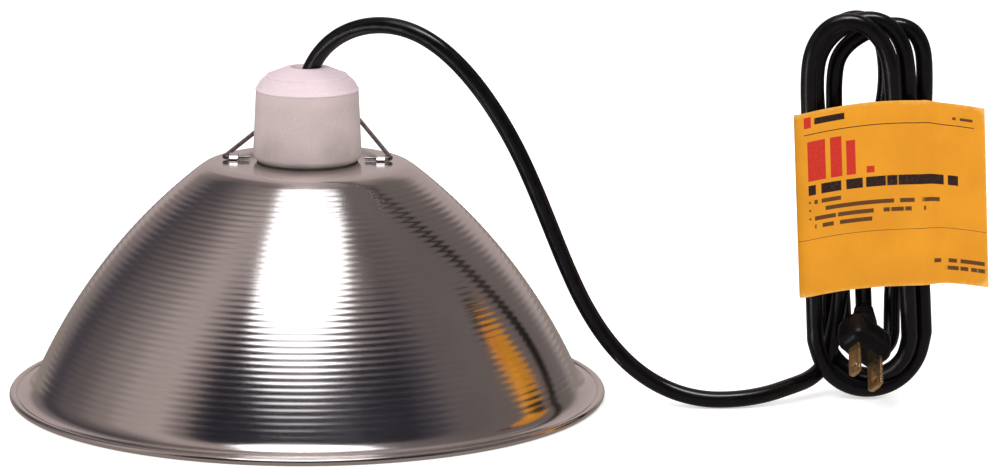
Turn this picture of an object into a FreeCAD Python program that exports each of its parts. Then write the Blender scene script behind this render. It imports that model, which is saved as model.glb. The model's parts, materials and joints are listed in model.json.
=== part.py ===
import FreeCAD, Part
import math
import os
import re
import Sketcher

from FreeCAD import Placement, Rotation, Vector

# Heat lamp fixture: a spun reflector that stands on its rolled rim, a two-piece porcelain
# lampholder through its crown, a wire hanger folded back, and a mains lead that runs down to
# a hank in a card sleeve. Millimetres and degrees, +Z up, the lamp axis on Z, the rim on Z = 0.

SIZES = (
    # spun reflector
    ("rim_radius", 133.35, "outside of the rolled rim, half of 10 1/2 inches"),
    ("bead_radius", 1.6, "rolled bead of the rim"),
    ("bead_seat", 0.25, "top of the bead down to the sheet that runs into it"),
    ("sheet_wall", 0.8, "spun sheet"),
    ("reflector_height", 105.6, "rest plane to the outside of the crown"),
    ("flare_radius", 12.0, "hollow flare between the wall and the bead"),
    ("wall_radius", 249.7, "long curve of the wall, seen in section"),
    ("shoulder_radius", 14.4, "turn of the wall into the crown"),
    ("crown_margin", 4.6, "lanced bridges to the end of the crown's flat"),
    # hanger seat in the crown
    ("bridge_gap", 6.6, "lampholder to the lanced bridges"),
    ("bridge_width", 4.2, "width of the lanced strip"),
    ("bridge_foot", 6.2, "half the length of the strip at its feet"),
    ("bridge_crest", 2.6, "half the length of its flat crest"),
    ("hanger_wire_radius", 1.0, "steel wire of the hanger"),
    ("hanger_clear", 0.3, "running clearance round the hanger's pivots"),
    ("hanger_gap", 1.6, "lampholder to the inner end of each pivot"),
    ("elbow_reach", 2.6, "bridge to the corner of the wire at each foot"),
    ("elbow_radius", 1.4, "bend of the wire there"),
    ("hanger_length", 105.0, "pivot line to the neck of the hook"),
    ("hanger_neck", 9.0, "half the spread of the legs at the neck"),
    ("neck_taper", 5.0, "length over which the legs come together"),
    ("neck_bend", 6.0, "bends of the wire there"),
    ("hanger_pair", 1.15, "half the spacing of the two wires in the hook"),
    ("hook_shank", 7.0, "double wire from the neck to the hook's curl"),
    ("hook_radius", 9.0, "curl of the hook"),
    ("hook_return", 8.0, "straight end of the hook after its curl"),
    ("hanger_rest", 5.6, "rise of the folded hanger above level"),
    # porcelain lampholder
    ("gasket_thick", 0.6, "washer between crown and lampholder"),
    ("gasket_radius", 22.4, "outside of that washer"),
    ("neck_radius", 17.0, "threaded neck below the crown"),
    ("neck_length", 17.2, "length of the neck"),
    ("neck_clear", 0.4, "neck to the hole in the crown"),
    ("holder_radius", 24.0, "widest place of the body"),
    ("holder_belly", 5.8, "height of that place above the base"),
    ("holder_base", 22.2, "flat of the base"),
    ("holder_hem", 1.6, "height of the bevel above that flat"),
    ("holder_round", 3.0, "rounding above that bevel"),
    ("holder_top", 22.8, "body at the seam"),
    ("holder_height", 31.3, "base to seam"),
    ("pocket_radius", 14.2, "pocket round the screw shell"),
    ("pocket_depth", 29.0, "neck mouth to the roof of the pocket"),
    ("web_thick", 7.5, "porcelain between pocket and wiring space"),
    ("wiring_radius", 18.5, "wiring space"),
    ("cap_height", 10.5, "seam to the top of the cap"),
    ("cap_radius", 22.6, "cap at the seam"),
    ("cap_rim", 1.2, "straight rim of the cap above the seam"),
    ("cap_edge", 16.7, "faint edge between the side and the top of the cap"),
    ("cap_edge_drop", 3.0, "top of the cap down to that edge"),
    ("cap_flat", 9.5, "flat top"),
    ("cap_round", 4.0, "rounding of the cap's corners"),
    ("cap_inner", 17.8, "inside of the cap"),
    ("cap_ceiling", 11.6, "inside of the cap at its roof"),
    ("cap_skirt", 2.5, "straight inner side above the seam"),
    ("cap_wall", 3.7, "roof of the cap at the cord hole"),
    ("cord_hole", 5.6, "throat of the cord hole"),
    ("cord_throat", 1.0, "length of the throat"),
    ("cord_mouth", 7.2, "flared mouth of the cord hole"),
    ("ring_outer", 23.0, "retaining ring under the crown"),
    ("ring_height", 5.0, "its height"),
    ("ring_clear", 0.05, "neck to retaining ring"),
    ("notch_width", 3.0, "grip notches of the ring"),
    ("notch_depth", 1.4, "their depth"),
    ("notch_count", 12.0, "their number"),
    # screw shell and contacts
    ("thread_crest", 12.3, "inside of the shell at the crests of its thread"),
    ("thread_root", 13.35, "inside of the shell at the roots"),
    ("thread_pitch", 3.629, "seven turns to the inch"),
    ("thread_land", 1.4, "flat of each crest"),
    ("thread_flank", 0.55, "length of each flank along the axis"),
    ("thread_turns", 6.0, "turns in the shell"),
    ("shell_wall", 0.4, "brass of the shell"),
    ("shell_recess", 1.5, "shell mouth inside the neck mouth"),
    ("shell_lead", 1.0, "shell mouth to the first turn"),
    ("disc_thick", 0.8, "insulating disc above the shell"),
    ("disc_radius", 13.9, "outside of that disc"),
    ("contact_hole", 5.4, "hole in shell and disc round the centre contact"),
    ("rivet_radius", 1.4, "shank of the shell rivets"),
    ("rivet_head", 2.2, "head of the shell rivets"),
    ("head_thick", 0.6, "thickness of every rivet head"),
    ("leaf_thick", 0.4, "spring leaf of the centre contact"),
    ("leaf_width", 5.0, "its width"),
    ("leaf_reach", 4.8, "lamp axis to the bend of the leaf"),
    ("leaf_tail", 3.4, "lamp axis to its free ends"),
    ("leaf_drop", 4.0, "height of the unloaded leaf"),
    ("button_radius", 2.2, "centre contact"),
    ("button_thick", 1.2, "its thickness"),
    ("contact_rivet_radius", 1.2, "shank of the contact rivet"),
    ("contact_rivet_head", 1.8, "its head"),
    ("terminal_thick", 0.8, "brass of the terminals"),
    ("terminal_width", 5.4, "their width"),
    ("terminal_place", 9.0, "lamp axis to each terminal screw, along both axes"),
    ("screw_radius", 1.6, "shank of the terminal screws"),
    ("screw_head", 3.4, "head of the terminal screws"),
    ("screw_head_thick", 2.0, "its thickness"),
    ("wire_gap", 1.7, "room for the bare wire under the head"),
    ("terminal_bore", 5.0, "depth of the bores under the terminals"),
    ("screw_reach", 4.6, "terminal screws below the terminals"),
    ("slot_width", 0.9, "screwdriver slots"),
    ("slot_depth", 0.9, "their depth"),
    ("hole_clear", 0.2, "holes round screws and rivets"),
    ("cap_screw_radius", 1.75, "shank of the cap screws"),
    ("cap_screw_head", 2.8, "head of the cap screws"),
    ("cap_screw_top", 2.0, "thickness of those heads"),
    ("cap_screw_sink", 2.4, "depth of their counterbore"),
    ("cap_screw_end", 0.9, "end of the cap screws past their inserts"),
    ("cap_screw_room", 2.0, "bore past the inserts"),
    ("post_radius", 3.5, "posts inside the cap"),
    ("post_drop", 3.5, "posts below the seam"),
    ("post_gap", 0.2, "posts to the cord clamp"),
    ("insert_radius", 2.6, "threaded inserts in the posts"),
    ("insert_length", 6.0, "their length"),
    ("insert_fit", 0.05, "cap screws to the bore of the inserts"),
    # mains lead
    ("cord_radius", 3.7, "two-core jacketed lead"),
    ("core_radius", 1.35, "insulated core"),
    ("core_spread", 1.75, "lead axis to the axis of each core"),
    ("core_start", 1.5, "end of the jacket down to the ends of the cores"),
    ("core_bend", 1.8, "bend of a core"),
    ("copper_bend", 1.2, "bends of a bare end"),
    ("copper_lead", 2.2, "straight end of the copper beside its screw"),
    ("copper_gap", 0.1, "copper to the shank of its screw"),
    ("copper_radius", 0.8, "bare end of a core"),
    ("clamp_half_x", 8.0, "cord clamp under the roof of the cap"),
    ("clamp_wall", 0.6, "its wall beside the bore"),
    ("clamp_corner", 1.5, "its corners"),
    ("clamp_height", 3.0, "its height"),
    ("clamp_bore", 4.7, "its bore round the leaning lead"),
    # hank of lead and its card sleeve, in the hank's own leaning frame
    ("hank_x", 252.0, "middle of the hank's foot"),
    ("hank_y", 2.0, "middle of its thickness"),
    ("hank_rise", 0.2, "rest plane to its lowest turn"),
    ("hank_lean", -3.0, "lean of the hank about Y"),
    ("hank_half", 28.5, "half its width"),
    ("hank_round", 27.5, "rounding of its foot and crest"),
    ("hank_height", 176.0, "foot to crest"),
    ("hank_thick", 22.0, "thickness over the turns"),
    ("eye_half", 13.0, "half the width of the eye inside the turns"),
    ("eye_round", 12.0, "rounding of the eye"),
    ("eye_low", 16.0, "foot to the eye"),
    ("eye_high", 160.0, "foot to the top of the eye"),
    ("card_thick", 0.6, "card"),
    ("card_side_room", 1.7, "turns to the outside of the sleeve's sides"),
    ("card_front_room", 0.9, "turns to the outside of its front"),
    ("card_back_room", 14.0, "turns to the outside of its back"),
    ("card_corner", 1.8, "rounding of the sleeve's folds"),
    ("card_low", 47.0, "foot to the sleeve's lower edge"),
    ("card_high", 134.0, "foot to its upper edge"),
    ("flap_width", 24.3, "side of the sleeve to the edge of the doubled flap"),
    ("flap_front", 4.0, "hank's middle to the front of the flap"),
    ("staple_wire", 0.7, "thickness of the staple wire"),
    ("staple_crown", 12.0, "length of a staple"),
    ("staple_inset", 16.0, "staples from the flap's upper and lower ends"),
    # plug
    ("plug_x", 247.8, "middle of the plug's face"),
    ("plug_y", -24.1, "middle of the plug's face"),
    ("plug_z", 25.7, "middle of the plug's face"),
    ("plug_yaw", -2.0, "turn of the plug about Z"),
    ("plug_droop", 31.4, "blades below level"),
    ("plug_roll", 43.7, "turn of the plug about its own axis"),
    ("plug_half_x", 12.0, "half the width of the moulding"),
    ("plug_half_y", 7.5, "half its thickness"),
    ("plug_corner", 5.0, "its rounded corners"),
    ("plug_depth", 17.0, "face to shoulder"),
    ("relief_length", 11.0, "strain relief behind the shoulder"),
    ("relief_radius", 6.0, "strain relief at the shoulder"),
    ("relief_wall", 0.6, "its wall round the lead at its thin end"),
    ("blade_spacing", 12.7, "between blade centres"),
    ("blade_thick", 1.5, "both blades"),
    ("blade_length", 17.5, "beyond the face"),
    ("blade_root", 8.0, "inside the moulding"),
    ("blade_narrow", 6.35, "line blade"),
    ("blade_wide", 7.94, "neutral blade"),
    ("blade_nib", 1.5, "length of the narrowed tip"),
    ("blade_hole", 1.6, "radius of the hole near each tip"),
    ("blade_hole_place", 5.6, "tip to that hole"),
)

# Places that follow from the sizes above.
LEVELS = (
    ("base_z", "reflector_height + gasket_thick"),
    ("seam_z", "base_z + holder_height"),
    ("cap_top_z", "seam_z + cap_height"),
    ("cap_roof_z", "cap_top_z - cap_wall"),
    ("mouth_z", "base_z - neck_length"),
    ("ring_z", "reflector_height - sheet_wall - ring_height"),
    ("pocket_z", "mouth_z + pocket_depth"),
    ("web_z", "pocket_z + web_thick"),
    ("disc_z", "pocket_z - disc_thick"),
    ("shell_z", "mouth_z + shell_recess"),
    ("leaf_z", "pocket_z - leaf_drop"),
    ("terminal_z", "web_z + terminal_thick"),
    ("pivot_z", "reflector_height + hanger_clear + hanger_wire_radius"),
    ("bridge_z", "pivot_z + hanger_wire_radius + hanger_clear"),
    ("post_z", "seam_z - post_drop"),
    ("fixing_circle", "clamp_bore + clamp_wall + post_gap + post_radius"),
    ("clamp_half_y", "clamp_bore + clamp_wall"),
    ("bridge_inner", "holder_radius + bridge_gap"),
    ("pivot_end", "holder_radius + hanger_gap"),
    ("hanger_foot", "bridge_inner + bridge_width + elbow_reach"),
    ("hanger_throat", "hanger_length + neck_taper + hook_shank"),
    ("crown_radius", "bridge_inner + bridge_width + crown_margin"),
    ("card_half", "hank_half + card_side_room"),
    ("card_front", "hank_thick / 2 + card_front_room"),
    ("card_back", "hank_thick / 2 + card_back_room"),
    ("flap_reach", "card_half + flap_width"),
)

# The free run of the lead, chosen by hand: out of the cap, over, down past the reflector,
# along the rest plane and up to the hank.
FREE_RUN = (
    (-2.0, 0.3, 133.0), (-1.3, 0.2, 137.8), (0.5, -0.3, 144.8), (4.2, -1.5, 152.4),
    (10.0, -3.6, 159.5), (18.0, -6.4, 165.0), (27.4, -9.5, 168.2), (37.7, -12.7, 168.8),
    (48.0, -15.4, 166.4), (58.0, -17.6, 161.0), (67.6, -19.2, 152.8), (76.8, -20.2, 142.2),
    (85.6, -20.8, 129.4), (93.9, -21.0, 114.6), (101.3, -20.8, 98.2), (108.3, -20.2, 80.8),
    (115.5, -19.4, 62.8), (123.6, -18.9, 45.2), (133.8, -18.8, 29.2), (146.2, -19.4, 16.2),
    (160.2, -20.8, 7.8), (175.2, -22.8, 3.9), (190.4, -23.0, 3.8), (204.4, -19.6, 5.0),
    (216.4, -13.0, 8.6), (224.6, -6.2, 12.8), (228.2, -2.6, 15.6),
)

# The cores inside the cap: shares of the terminal's place, and heights above the seat of the wire.
CORE_RUN = ((0.25, 0.11, 2.6), (0.58, 0.54, 1.0))

# The last of the lead, from the plug's strain relief up into the back of the hank.
PLUG_RUN = (
    (248.66, -0.2, 40.3), (248.8, 3.7, 42.7), (248.9, 9.3, 47.2), (248.9, 14.4, 53.4),
    (248.8, 18.1, 60.9), (248.5, 20.1, 69.3), (248.0, 20.3, 78.5), (247.4, 18.6, 88.3),
    (246.8, 15.1, 98.3), (246.4, 12.6, 103.7),
)

doc = FreeCAD.newDocument("heat_lamp_fixture")
sheet = doc.addObject("Spreadsheet::Sheet", "Sizes")
NAMES = [row[0] for row in SIZES] + [row[0] for row in LEVELS]
parts = {}


def linked(text):
    """An expression in the sheet's names, as the other objects have to write it."""
    return re.sub(r"[a-z_]\w*", lambda word: "Sizes." * (word.group(0) in NAMES) + word.group(0), text)


def fill_sheet():
    """Write the sizes and the places that follow from them, with their names, in the sheet."""
    for line, (name, value, note) in enumerate(SIZES, start=1):
        sheet.set("A%d" % line, name)
        sheet.set("B%d" % line, str(value))
        sheet.set("C%d" % line, note)
        sheet.setAlias("B%d" % line, name)
    doc.recompute()
    for line, (name, rule) in enumerate(LEVELS, start=len(SIZES) + 1):
        sheet.set("A%d" % line, name)
        sheet.set("B%d" % line, "=" + rule)
        sheet.setAlias("B%d" % line, name)
    doc.recompute()


def value(text):
    """The number that an expression in the sheet's names gives."""
    return float(sheet.evalExpression(text))


def bind(thing, **rules):
    """Bind properties of a document object to expressions; a double underscore means a dot."""
    for name, rule in rules.items():
        thing.setExpression(name.replace("__", "."), linked(rule))


def place(thing, x="0", y="0", z="0"):
    """Bind the position of a document object."""
    bind(thing, Placement__Base__x=x, Placement__Base__y=y, Placement__Base__z=z)


def new_body(name):
    """An empty body that makes the named piece."""
    body = doc.addObject("PartDesign::Body", name)
    body.Label = name
    parts[name] = body
    return body


def origin_plane(body, role):
    """One of the body's own three planes."""
    return [item for item in body.Origin.OriginFeatures if item.Role == role][0]


def new_sketch(body, name, plane, level="0"):
    """An empty sketch on one of the body's own planes, raised by an expression."""
    sketch = body.newObject("Sketcher::SketchObject", name)
    sketch.AttachmentSupport = (origin_plane(body, plane), [""])
    sketch.MapMode = "FlatFace"
    bind(sketch, AttachmentOffset__Base__z=level)
    return sketch


def pin_point(sketch, curve, end, across, up):
    """Hold one end of a curve at a pair of expressions."""
    for kind, rule in (("DistanceX", across), ("DistanceY", up)):
        size = Sketcher.Constraint(kind, -1, 1, curve, end, value(rule))
        number = sketch.addConstraint(size)
        sketch.setExpression("Constraints[%d]" % number, linked(rule))


def draw_outline(sketch, corners):
    """A closed outline of straight sides; each corner is a pair of expressions."""
    flat = [Vector(value(across), value(up), 0) for across, up in corners]
    first = sketch.GeometryCount
    last = first + len(flat) - 1
    for here, there in zip(flat, flat[1:] + flat[:1]):
        sketch.addGeometry(Part.LineSegment(here, there))
    for curve in range(first, last + 1):
        follower = first if curve == last else curve + 1
        sketch.addConstraint(Sketcher.Constraint("Coincident", curve, 2, follower, 1))
    for curve, (across, up) in enumerate(corners, start=first):
        pin_point(sketch, curve, 1, across, up)


def draw_circle(sketch, across, up, radius):
    """A circle whose centre and radius are expressions."""
    middle = Vector(value(across), value(up), 0)
    curve = sketch.addGeometry(Part.Circle(middle, Vector(0, 0, 1), value(radius)))
    pin_point(sketch, curve, 3, across, up)
    number = sketch.addConstraint(Sketcher.Constraint("Radius", curve, value(radius)))
    sketch.setExpression("Constraints[%d]" % number, linked(radius))


def draw_rounded(sketch, low, high, left, right, corner):
    """A rectangle with rounded corners, its sides and corner radius expressions."""
    x0, x1, y0, y1, r = [value(rule) for rule in (left, right, low, high, corner)]
    first = sketch.GeometryCount
    ends = ((x0 + r, y0, x1 - r, y0), (x1, y0 + r, x1, y1 - r),
            (x1 - r, y1, x0 + r, y1), (x0, y1 - r, x0, y0 + r))
    turns = ((x1 - r, y0 + r, 270), (x1 - r, y1 - r, 0), (x0 + r, y1 - r, 90), (x0 + r, y0 + r, 180))
    for (ax, ay, bx, by), (cx, cy, start) in zip(ends, turns):
        sketch.addGeometry(Part.LineSegment(Vector(ax, ay, 0), Vector(bx, by, 0)))
        round_edge = Part.Circle(Vector(cx, cy, 0), Vector(0, 0, 1), r)
        sketch.addGeometry(Part.ArcOfCircle(round_edge, math.radians(start), math.radians(start + 90)))
    for side in range(4):
        line = first + 2 * side
        following = first + (2 * side + 2) % 8
        sketch.addConstraint(Sketcher.Constraint("Tangent", line, 2, line + 1, 1))
        sketch.addConstraint(Sketcher.Constraint("Tangent", line + 1, 2, following, 1))
        sketch.addConstraint(Sketcher.Constraint("Vertical" if side % 2 else "Horizontal", line))
        if side:
            sketch.addConstraint(Sketcher.Constraint("Equal", first + 1, line + 1))
    for kind, curve, rule in (("DistanceY", 0, low), ("DistanceX", 2, right),
                              ("DistanceY", 4, high), ("DistanceX", 6, left)):
        number = sketch.addConstraint(Sketcher.Constraint(kind, -1, 1, first + curve, 1, value(rule)))
        sketch.setExpression("Constraints[%d]" % number, linked(rule))
    number = sketch.addConstraint(Sketcher.Constraint("Radius", first + 1, value(corner)))
    sketch.setExpression("Constraints[%d]" % number, linked(corner))


def turned(name, corners):
    """A body turned about the lamp axis from an outline of (radius, height)."""
    body = new_body(name)
    sketch = new_sketch(body, name + "_outline", "XZ_Plane")
    draw_outline(sketch, corners)
    spin = body.newObject("PartDesign::Revolution", name + "_turning")
    spin.Profile = sketch
    spin.ReferenceAxis = (sketch, ["V_Axis"])
    spin.Angle = 360
    return body


def padded(body, name, sketch, length, midplane=False):
    """Pad a sketch by an expression."""
    pad = body.newObject("PartDesign::Pad", name)
    pad.Profile = sketch
    pad.SideType = "Symmetric" if midplane else "One side"
    bind(pad, Length=length)
    return pad


def pocketed(body, name, sketch, depth, upwards=True):
    """Cut a sketch into the body, and make sure that it takes something away."""
    doc.recompute()
    before = body.Shape.Volume
    cut = body.newObject("PartDesign::Pocket", name)
    cut.Profile = sketch
    cut.Reversed = upwards
    bind(cut, Length=depth)
    doc.recompute()
    if not body.Shape.Volume < before:
        raise RuntimeError(name + " cuts nothing")
    return cut


def drilled(body, name, level, depth, *holes):
    """Round holes upwards from a level, each (x, y, radius)."""
    sketch = new_sketch(body, name + "_places", "XY_Plane", level)
    for across, up, radius in holes:
        draw_circle(sketch, across, up, radius)
    pocketed(body, name, sketch, depth)


def softened(body, name, radius, *circles):
    """Fillet the round edges of a turned body that lie at the given (radius, height) places."""
    doc.recompute()
    places = [(value(across), value(up)) for across, up in circles]
    edges = []
    for number, edge in enumerate(body.Shape.Edges, start=1):
        spot = edge.Vertexes[0].Point
        across = math.hypot(spot.x, spot.y)
        if edge.isClosed() and any(math.dist((across, spot.z), place) < 0.01 for place in places):
            edges.append("Edge%d" % number)
    if len(edges) != len(places):
        raise RuntimeError(name + " misses an edge")
    base = body.Tip
    fillet = body.newObject("PartDesign::Fillet", name)
    fillet.Base = (base, edges)
    bind(fillet, Radius=radius)
    body.Tip = fillet
    doc.recompute()


def cylinder(name, radius, height, x="0", y="0", z="0"):
    """A Part cylinder along Z with bound sizes."""
    rod = doc.addObject("Part::Cylinder", name)
    bind(rod, Radius=radius, Height=height)
    place(rod, x, y, z)
    return rod


def block(name, length, width, height, x, y, z):
    """A Part box with bound sizes; x, y and z are its lowest corner."""
    box = doc.addObject("Part::Box", name)
    bind(box, Length=length, Width=width, Height=height)
    place(box, x, y, z)
    return box


def joined(name, *pieces):
    """One solid or group of solids made of several document objects."""
    whole = doc.addObject("Part::MultiFuse", name)
    whole.Shapes = list(pieces)
    whole.Label = name
    parts[name] = whole
    return whole


def cut_from(name, base, tool):
    """One document object cut by another."""
    rest = doc.addObject("Part::Cut", name)
    rest.Base = base
    rest.Tool = tool
    rest.Label = name
    return rest


def shaped(name, shape):
    """A piece whose shape is worked out here from the sheet's values."""
    piece = doc.addObject("Part::Feature", name)
    piece.Shape = shape
    piece.Label = name
    parts[name] = piece
    return piece


def rounded_path(points, radii):
    """Straight runs joined by tangent arcs, one radius for each inner point."""
    edges = []
    start = points[0]
    for before, corner, after, radius in zip(points, points[1:], points[2:], radii):
        back = (before - corner).normalize()
        ahead = (after - corner).normalize()
        half_turn = (math.pi - back.getAngle(ahead)) / 2
        reach = radius * math.tan(half_turn)
        bow = radius / math.cos(half_turn) - radius
        middle = corner + (back + ahead).normalize() * bow
        edges.append(Part.LineSegment(start, corner + back * reach).toShape())
        edges.append(Part.Arc(corner + back * reach, middle, corner + ahead * reach).toShape())
        start = corner + ahead * reach
    edges.append(Part.LineSegment(start, points[-1]).toShape())
    return Part.Wire(edges)


def cord_radii(points):
    """The largest arc that the two runs beside each point leave room for."""
    radii = []
    for before, corner, after in zip(points, points[1:], points[2:]):
        back = before - corner
        ahead = after - corner
        half_turn = (math.pi - back.getAngle(ahead)) / 2
        radii.append(0.45 * min(back.Length, ahead.Length) / math.tan(half_turn))
    return radii


def swept(path, radius):
    """A round rod along a path."""
    start = path.Edges[0].Vertexes[0].Point
    heading = path.Edges[0].tangentAt(path.Edges[0].FirstParameter)
    ring = Part.Wire(Part.makeCircle(radius, start, heading))
    return path.makePipeShell([ring], True, False)


def cord_tube(name, route):
    """A tube along a hand-chosen route, with its radii and volume printed."""
    points = [Vector(*point) for point in route]
    radii = cord_radii(points)
    path = rounded_path(points, radii)
    radius = value("cord_radius")
    tube = shaped(name, swept(path, radius))
    share = tube.Shape.Volume / (math.pi * radius ** 2 * path.Length)
    print(name, "length %.1f" % path.Length, "volume share %.4f" % share)
    print(name, "radii", " ".join("%.0f" % item for item in radii))
    return tube


# ------------------------------------------------------------------ reflector
def arc_between(start, end, centre):
    """The short arc round a centre from one point to another."""
    middle = ((start - centre).normalize() + (end - centre).normalize()).normalize()
    return Part.Arc(start, centre + middle * (start - centre).Length, end).toShape()


def common_centre(low, low_reach, high, high_reach):
    """The point in the section at these distances from two others, on the lamp axis's side."""
    apart = high - low
    along = (low_reach ** 2 - high_reach ** 2 + apart.Length ** 2) / (2 * apart.Length)
    aside = Vector(-apart.z, 0, apart.x).normalize() * math.sqrt(low_reach ** 2 - along ** 2)
    return low + apart.normalize() * along + aside


def reflector_section():
    """Closed section of the spun sheet: flare, wall, shoulder and crown, with its neck hole."""
    wall = value("sheet_wall")
    flare = value("flare_radius")
    reach = value("wall_radius")
    turn = value("shoulder_radius")
    rim = Vector(value("rim_radius - bead_radius"), 0, value("2 * bead_radius - bead_seat"))
    flare_centre = rim + Vector(0, 0, flare)
    crown = Vector(value("crown_radius"), 0, value("reflector_height"))
    shoulder_centre = crown - Vector(0, 0, turn)
    # the wall touches the flare and the shoulder, on the lines between their centres and its own
    centre = common_centre(flare_centre, reach + flare, shoulder_centre, reach - turn)
    foot = centre + (flare_centre - centre).normalize() * reach
    shoulder = centre + (shoulder_centre - centre).normalize() * reach
    hole = Vector(value("neck_radius + neck_clear"), 0, crown.z)

    def inner(point, middle, sign):
        return point + (point - middle).normalize() * wall * sign

    down = Vector(0, 0, -wall)
    edges = [
        arc_between(rim, foot, flare_centre),
        arc_between(foot, shoulder, centre),
        arc_between(shoulder, crown, shoulder_centre),
        Part.LineSegment(crown, hole).toShape(),
        Part.LineSegment(hole, hole + down).toShape(),
        Part.LineSegment(hole + down, crown + down).toShape(),
        arc_between(crown + down, inner(shoulder, centre, -1), shoulder_centre),
        arc_between(inner(shoulder, centre, -1), inner(foot, centre, -1), centre),
        arc_between(inner(foot, centre, -1), rim + down, flare_centre),
        Part.LineSegment(rim + down, rim).toShape(),
    ]
    return Part.Face(Part.Wire(edges))


def make_bridge(name, side):
    """A strip lanced from the crown that holds one pivot of the hanger."""
    body = doc.addObject("PartDesign::Body", name)
    sketch = new_sketch(body, name + "_section", "YZ_Plane")
    under = "reflector_height - sheet_wall / 2"
    crest = "bridge_z + sheet_wall"
    draw_outline(sketch, (
        ("-bridge_foot", under), ("-bridge_foot + 1.2 * sheet_wall", under),
        ("-bridge_crest + 0.4 * sheet_wall", "bridge_z"), ("bridge_crest - 0.4 * sheet_wall", "bridge_z"),
        ("bridge_foot - 1.2 * sheet_wall", under), ("bridge_foot", under),
        ("bridge_crest", crest), ("-bridge_crest", crest)))
    padded(body, name + "_strip", sketch, "bridge_width")
    place(body, "bridge_inner" if side > 0 else "-bridge_inner - bridge_width")
    return body


def make_reflector():
    """Spun sheet with a rolled bead and the two bridges lanced from its crown."""
    blank = doc.addObject("Part::Feature", "spun_sheet")
    blank.Shape = reflector_section().revolve(Vector(0, 0, 0), Vector(0, 0, 1), 360)
    bead = doc.addObject("Part::Torus", "rim_bead")
    bind(bead, Radius1="rim_radius - bead_radius", Radius2="bead_radius")
    place(bead, z="bead_radius")
    reach = "bridge_foot - 1.3 * sheet_wall"
    windows = [block("lance_window_%d" % number, "bridge_width", "2 * (%s)" % reach, "3 * sheet_wall",
                     corner, "-(%s)" % reach, "reflector_height - 2 * sheet_wall")
               for number, corner in enumerate(("bridge_inner", "-bridge_inner - bridge_width"))]
    both = doc.addObject("Part::MultiFuse", "lance_windows")
    both.Shapes = windows
    pierced = cut_from("pierced_sheet", blank, both)
    joined("reflector", pierced, bead, make_bridge("bridge_right", 1), make_bridge("bridge_left", -1))


# ------------------------------------------------------------------ hanger
def make_hanger():
    """Wire hanger: two pivots, two legs, a neck and a double-wire hook, leaning back."""
    rod = value("hanger_wire_radius")
    pair = value("hanger_pair")
    curl = value("hook_radius")
    throat = value("hanger_throat")
    half = [
        Vector(value("pivot_end"), 0, 0),
        Vector(value("hanger_foot"), 0, 0),
        Vector(value("hanger_neck"), value("hanger_length"), 0),
        Vector(pair, value("hanger_length + neck_taper"), 0),
        Vector(pair, throat, 0),
    ]
    bend = value("neck_bend")
    leg = swept(rounded_path(half, (value("elbow_radius"), bend, bend)), rod)
    over = Vector(pair, throat + curl, -curl)
    end = Vector(pair, throat, -2 * curl)
    tip = end + Vector(0, -value("hook_return"), 0)
    curve = Part.Wire([Part.Arc(half[-1], over, end).toShape(), Part.LineSegment(end, tip).toShape()])
    hook = swept(curve, rod)
    right = leg.fuse(hook)
    left = right.mirror(Vector(0, 0, 0), Vector(1, 0, 0))
    loop = Part.Wire(Part.Arc(tip, tip + Vector(-pair, -pair, 0), tip + Vector(-2 * pair, 0, 0)).toShape())
    wire = right.fuse([left, swept(loop, rod)]).removeSplitter()
    hanger = shaped("hanger_wire", wire)
    lean_back = Rotation(Vector(1, 0, 0), value("hanger_rest"))
    hanger.Placement = Placement(Vector(0, 0, value("pivot_z")), lean_back)


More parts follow.
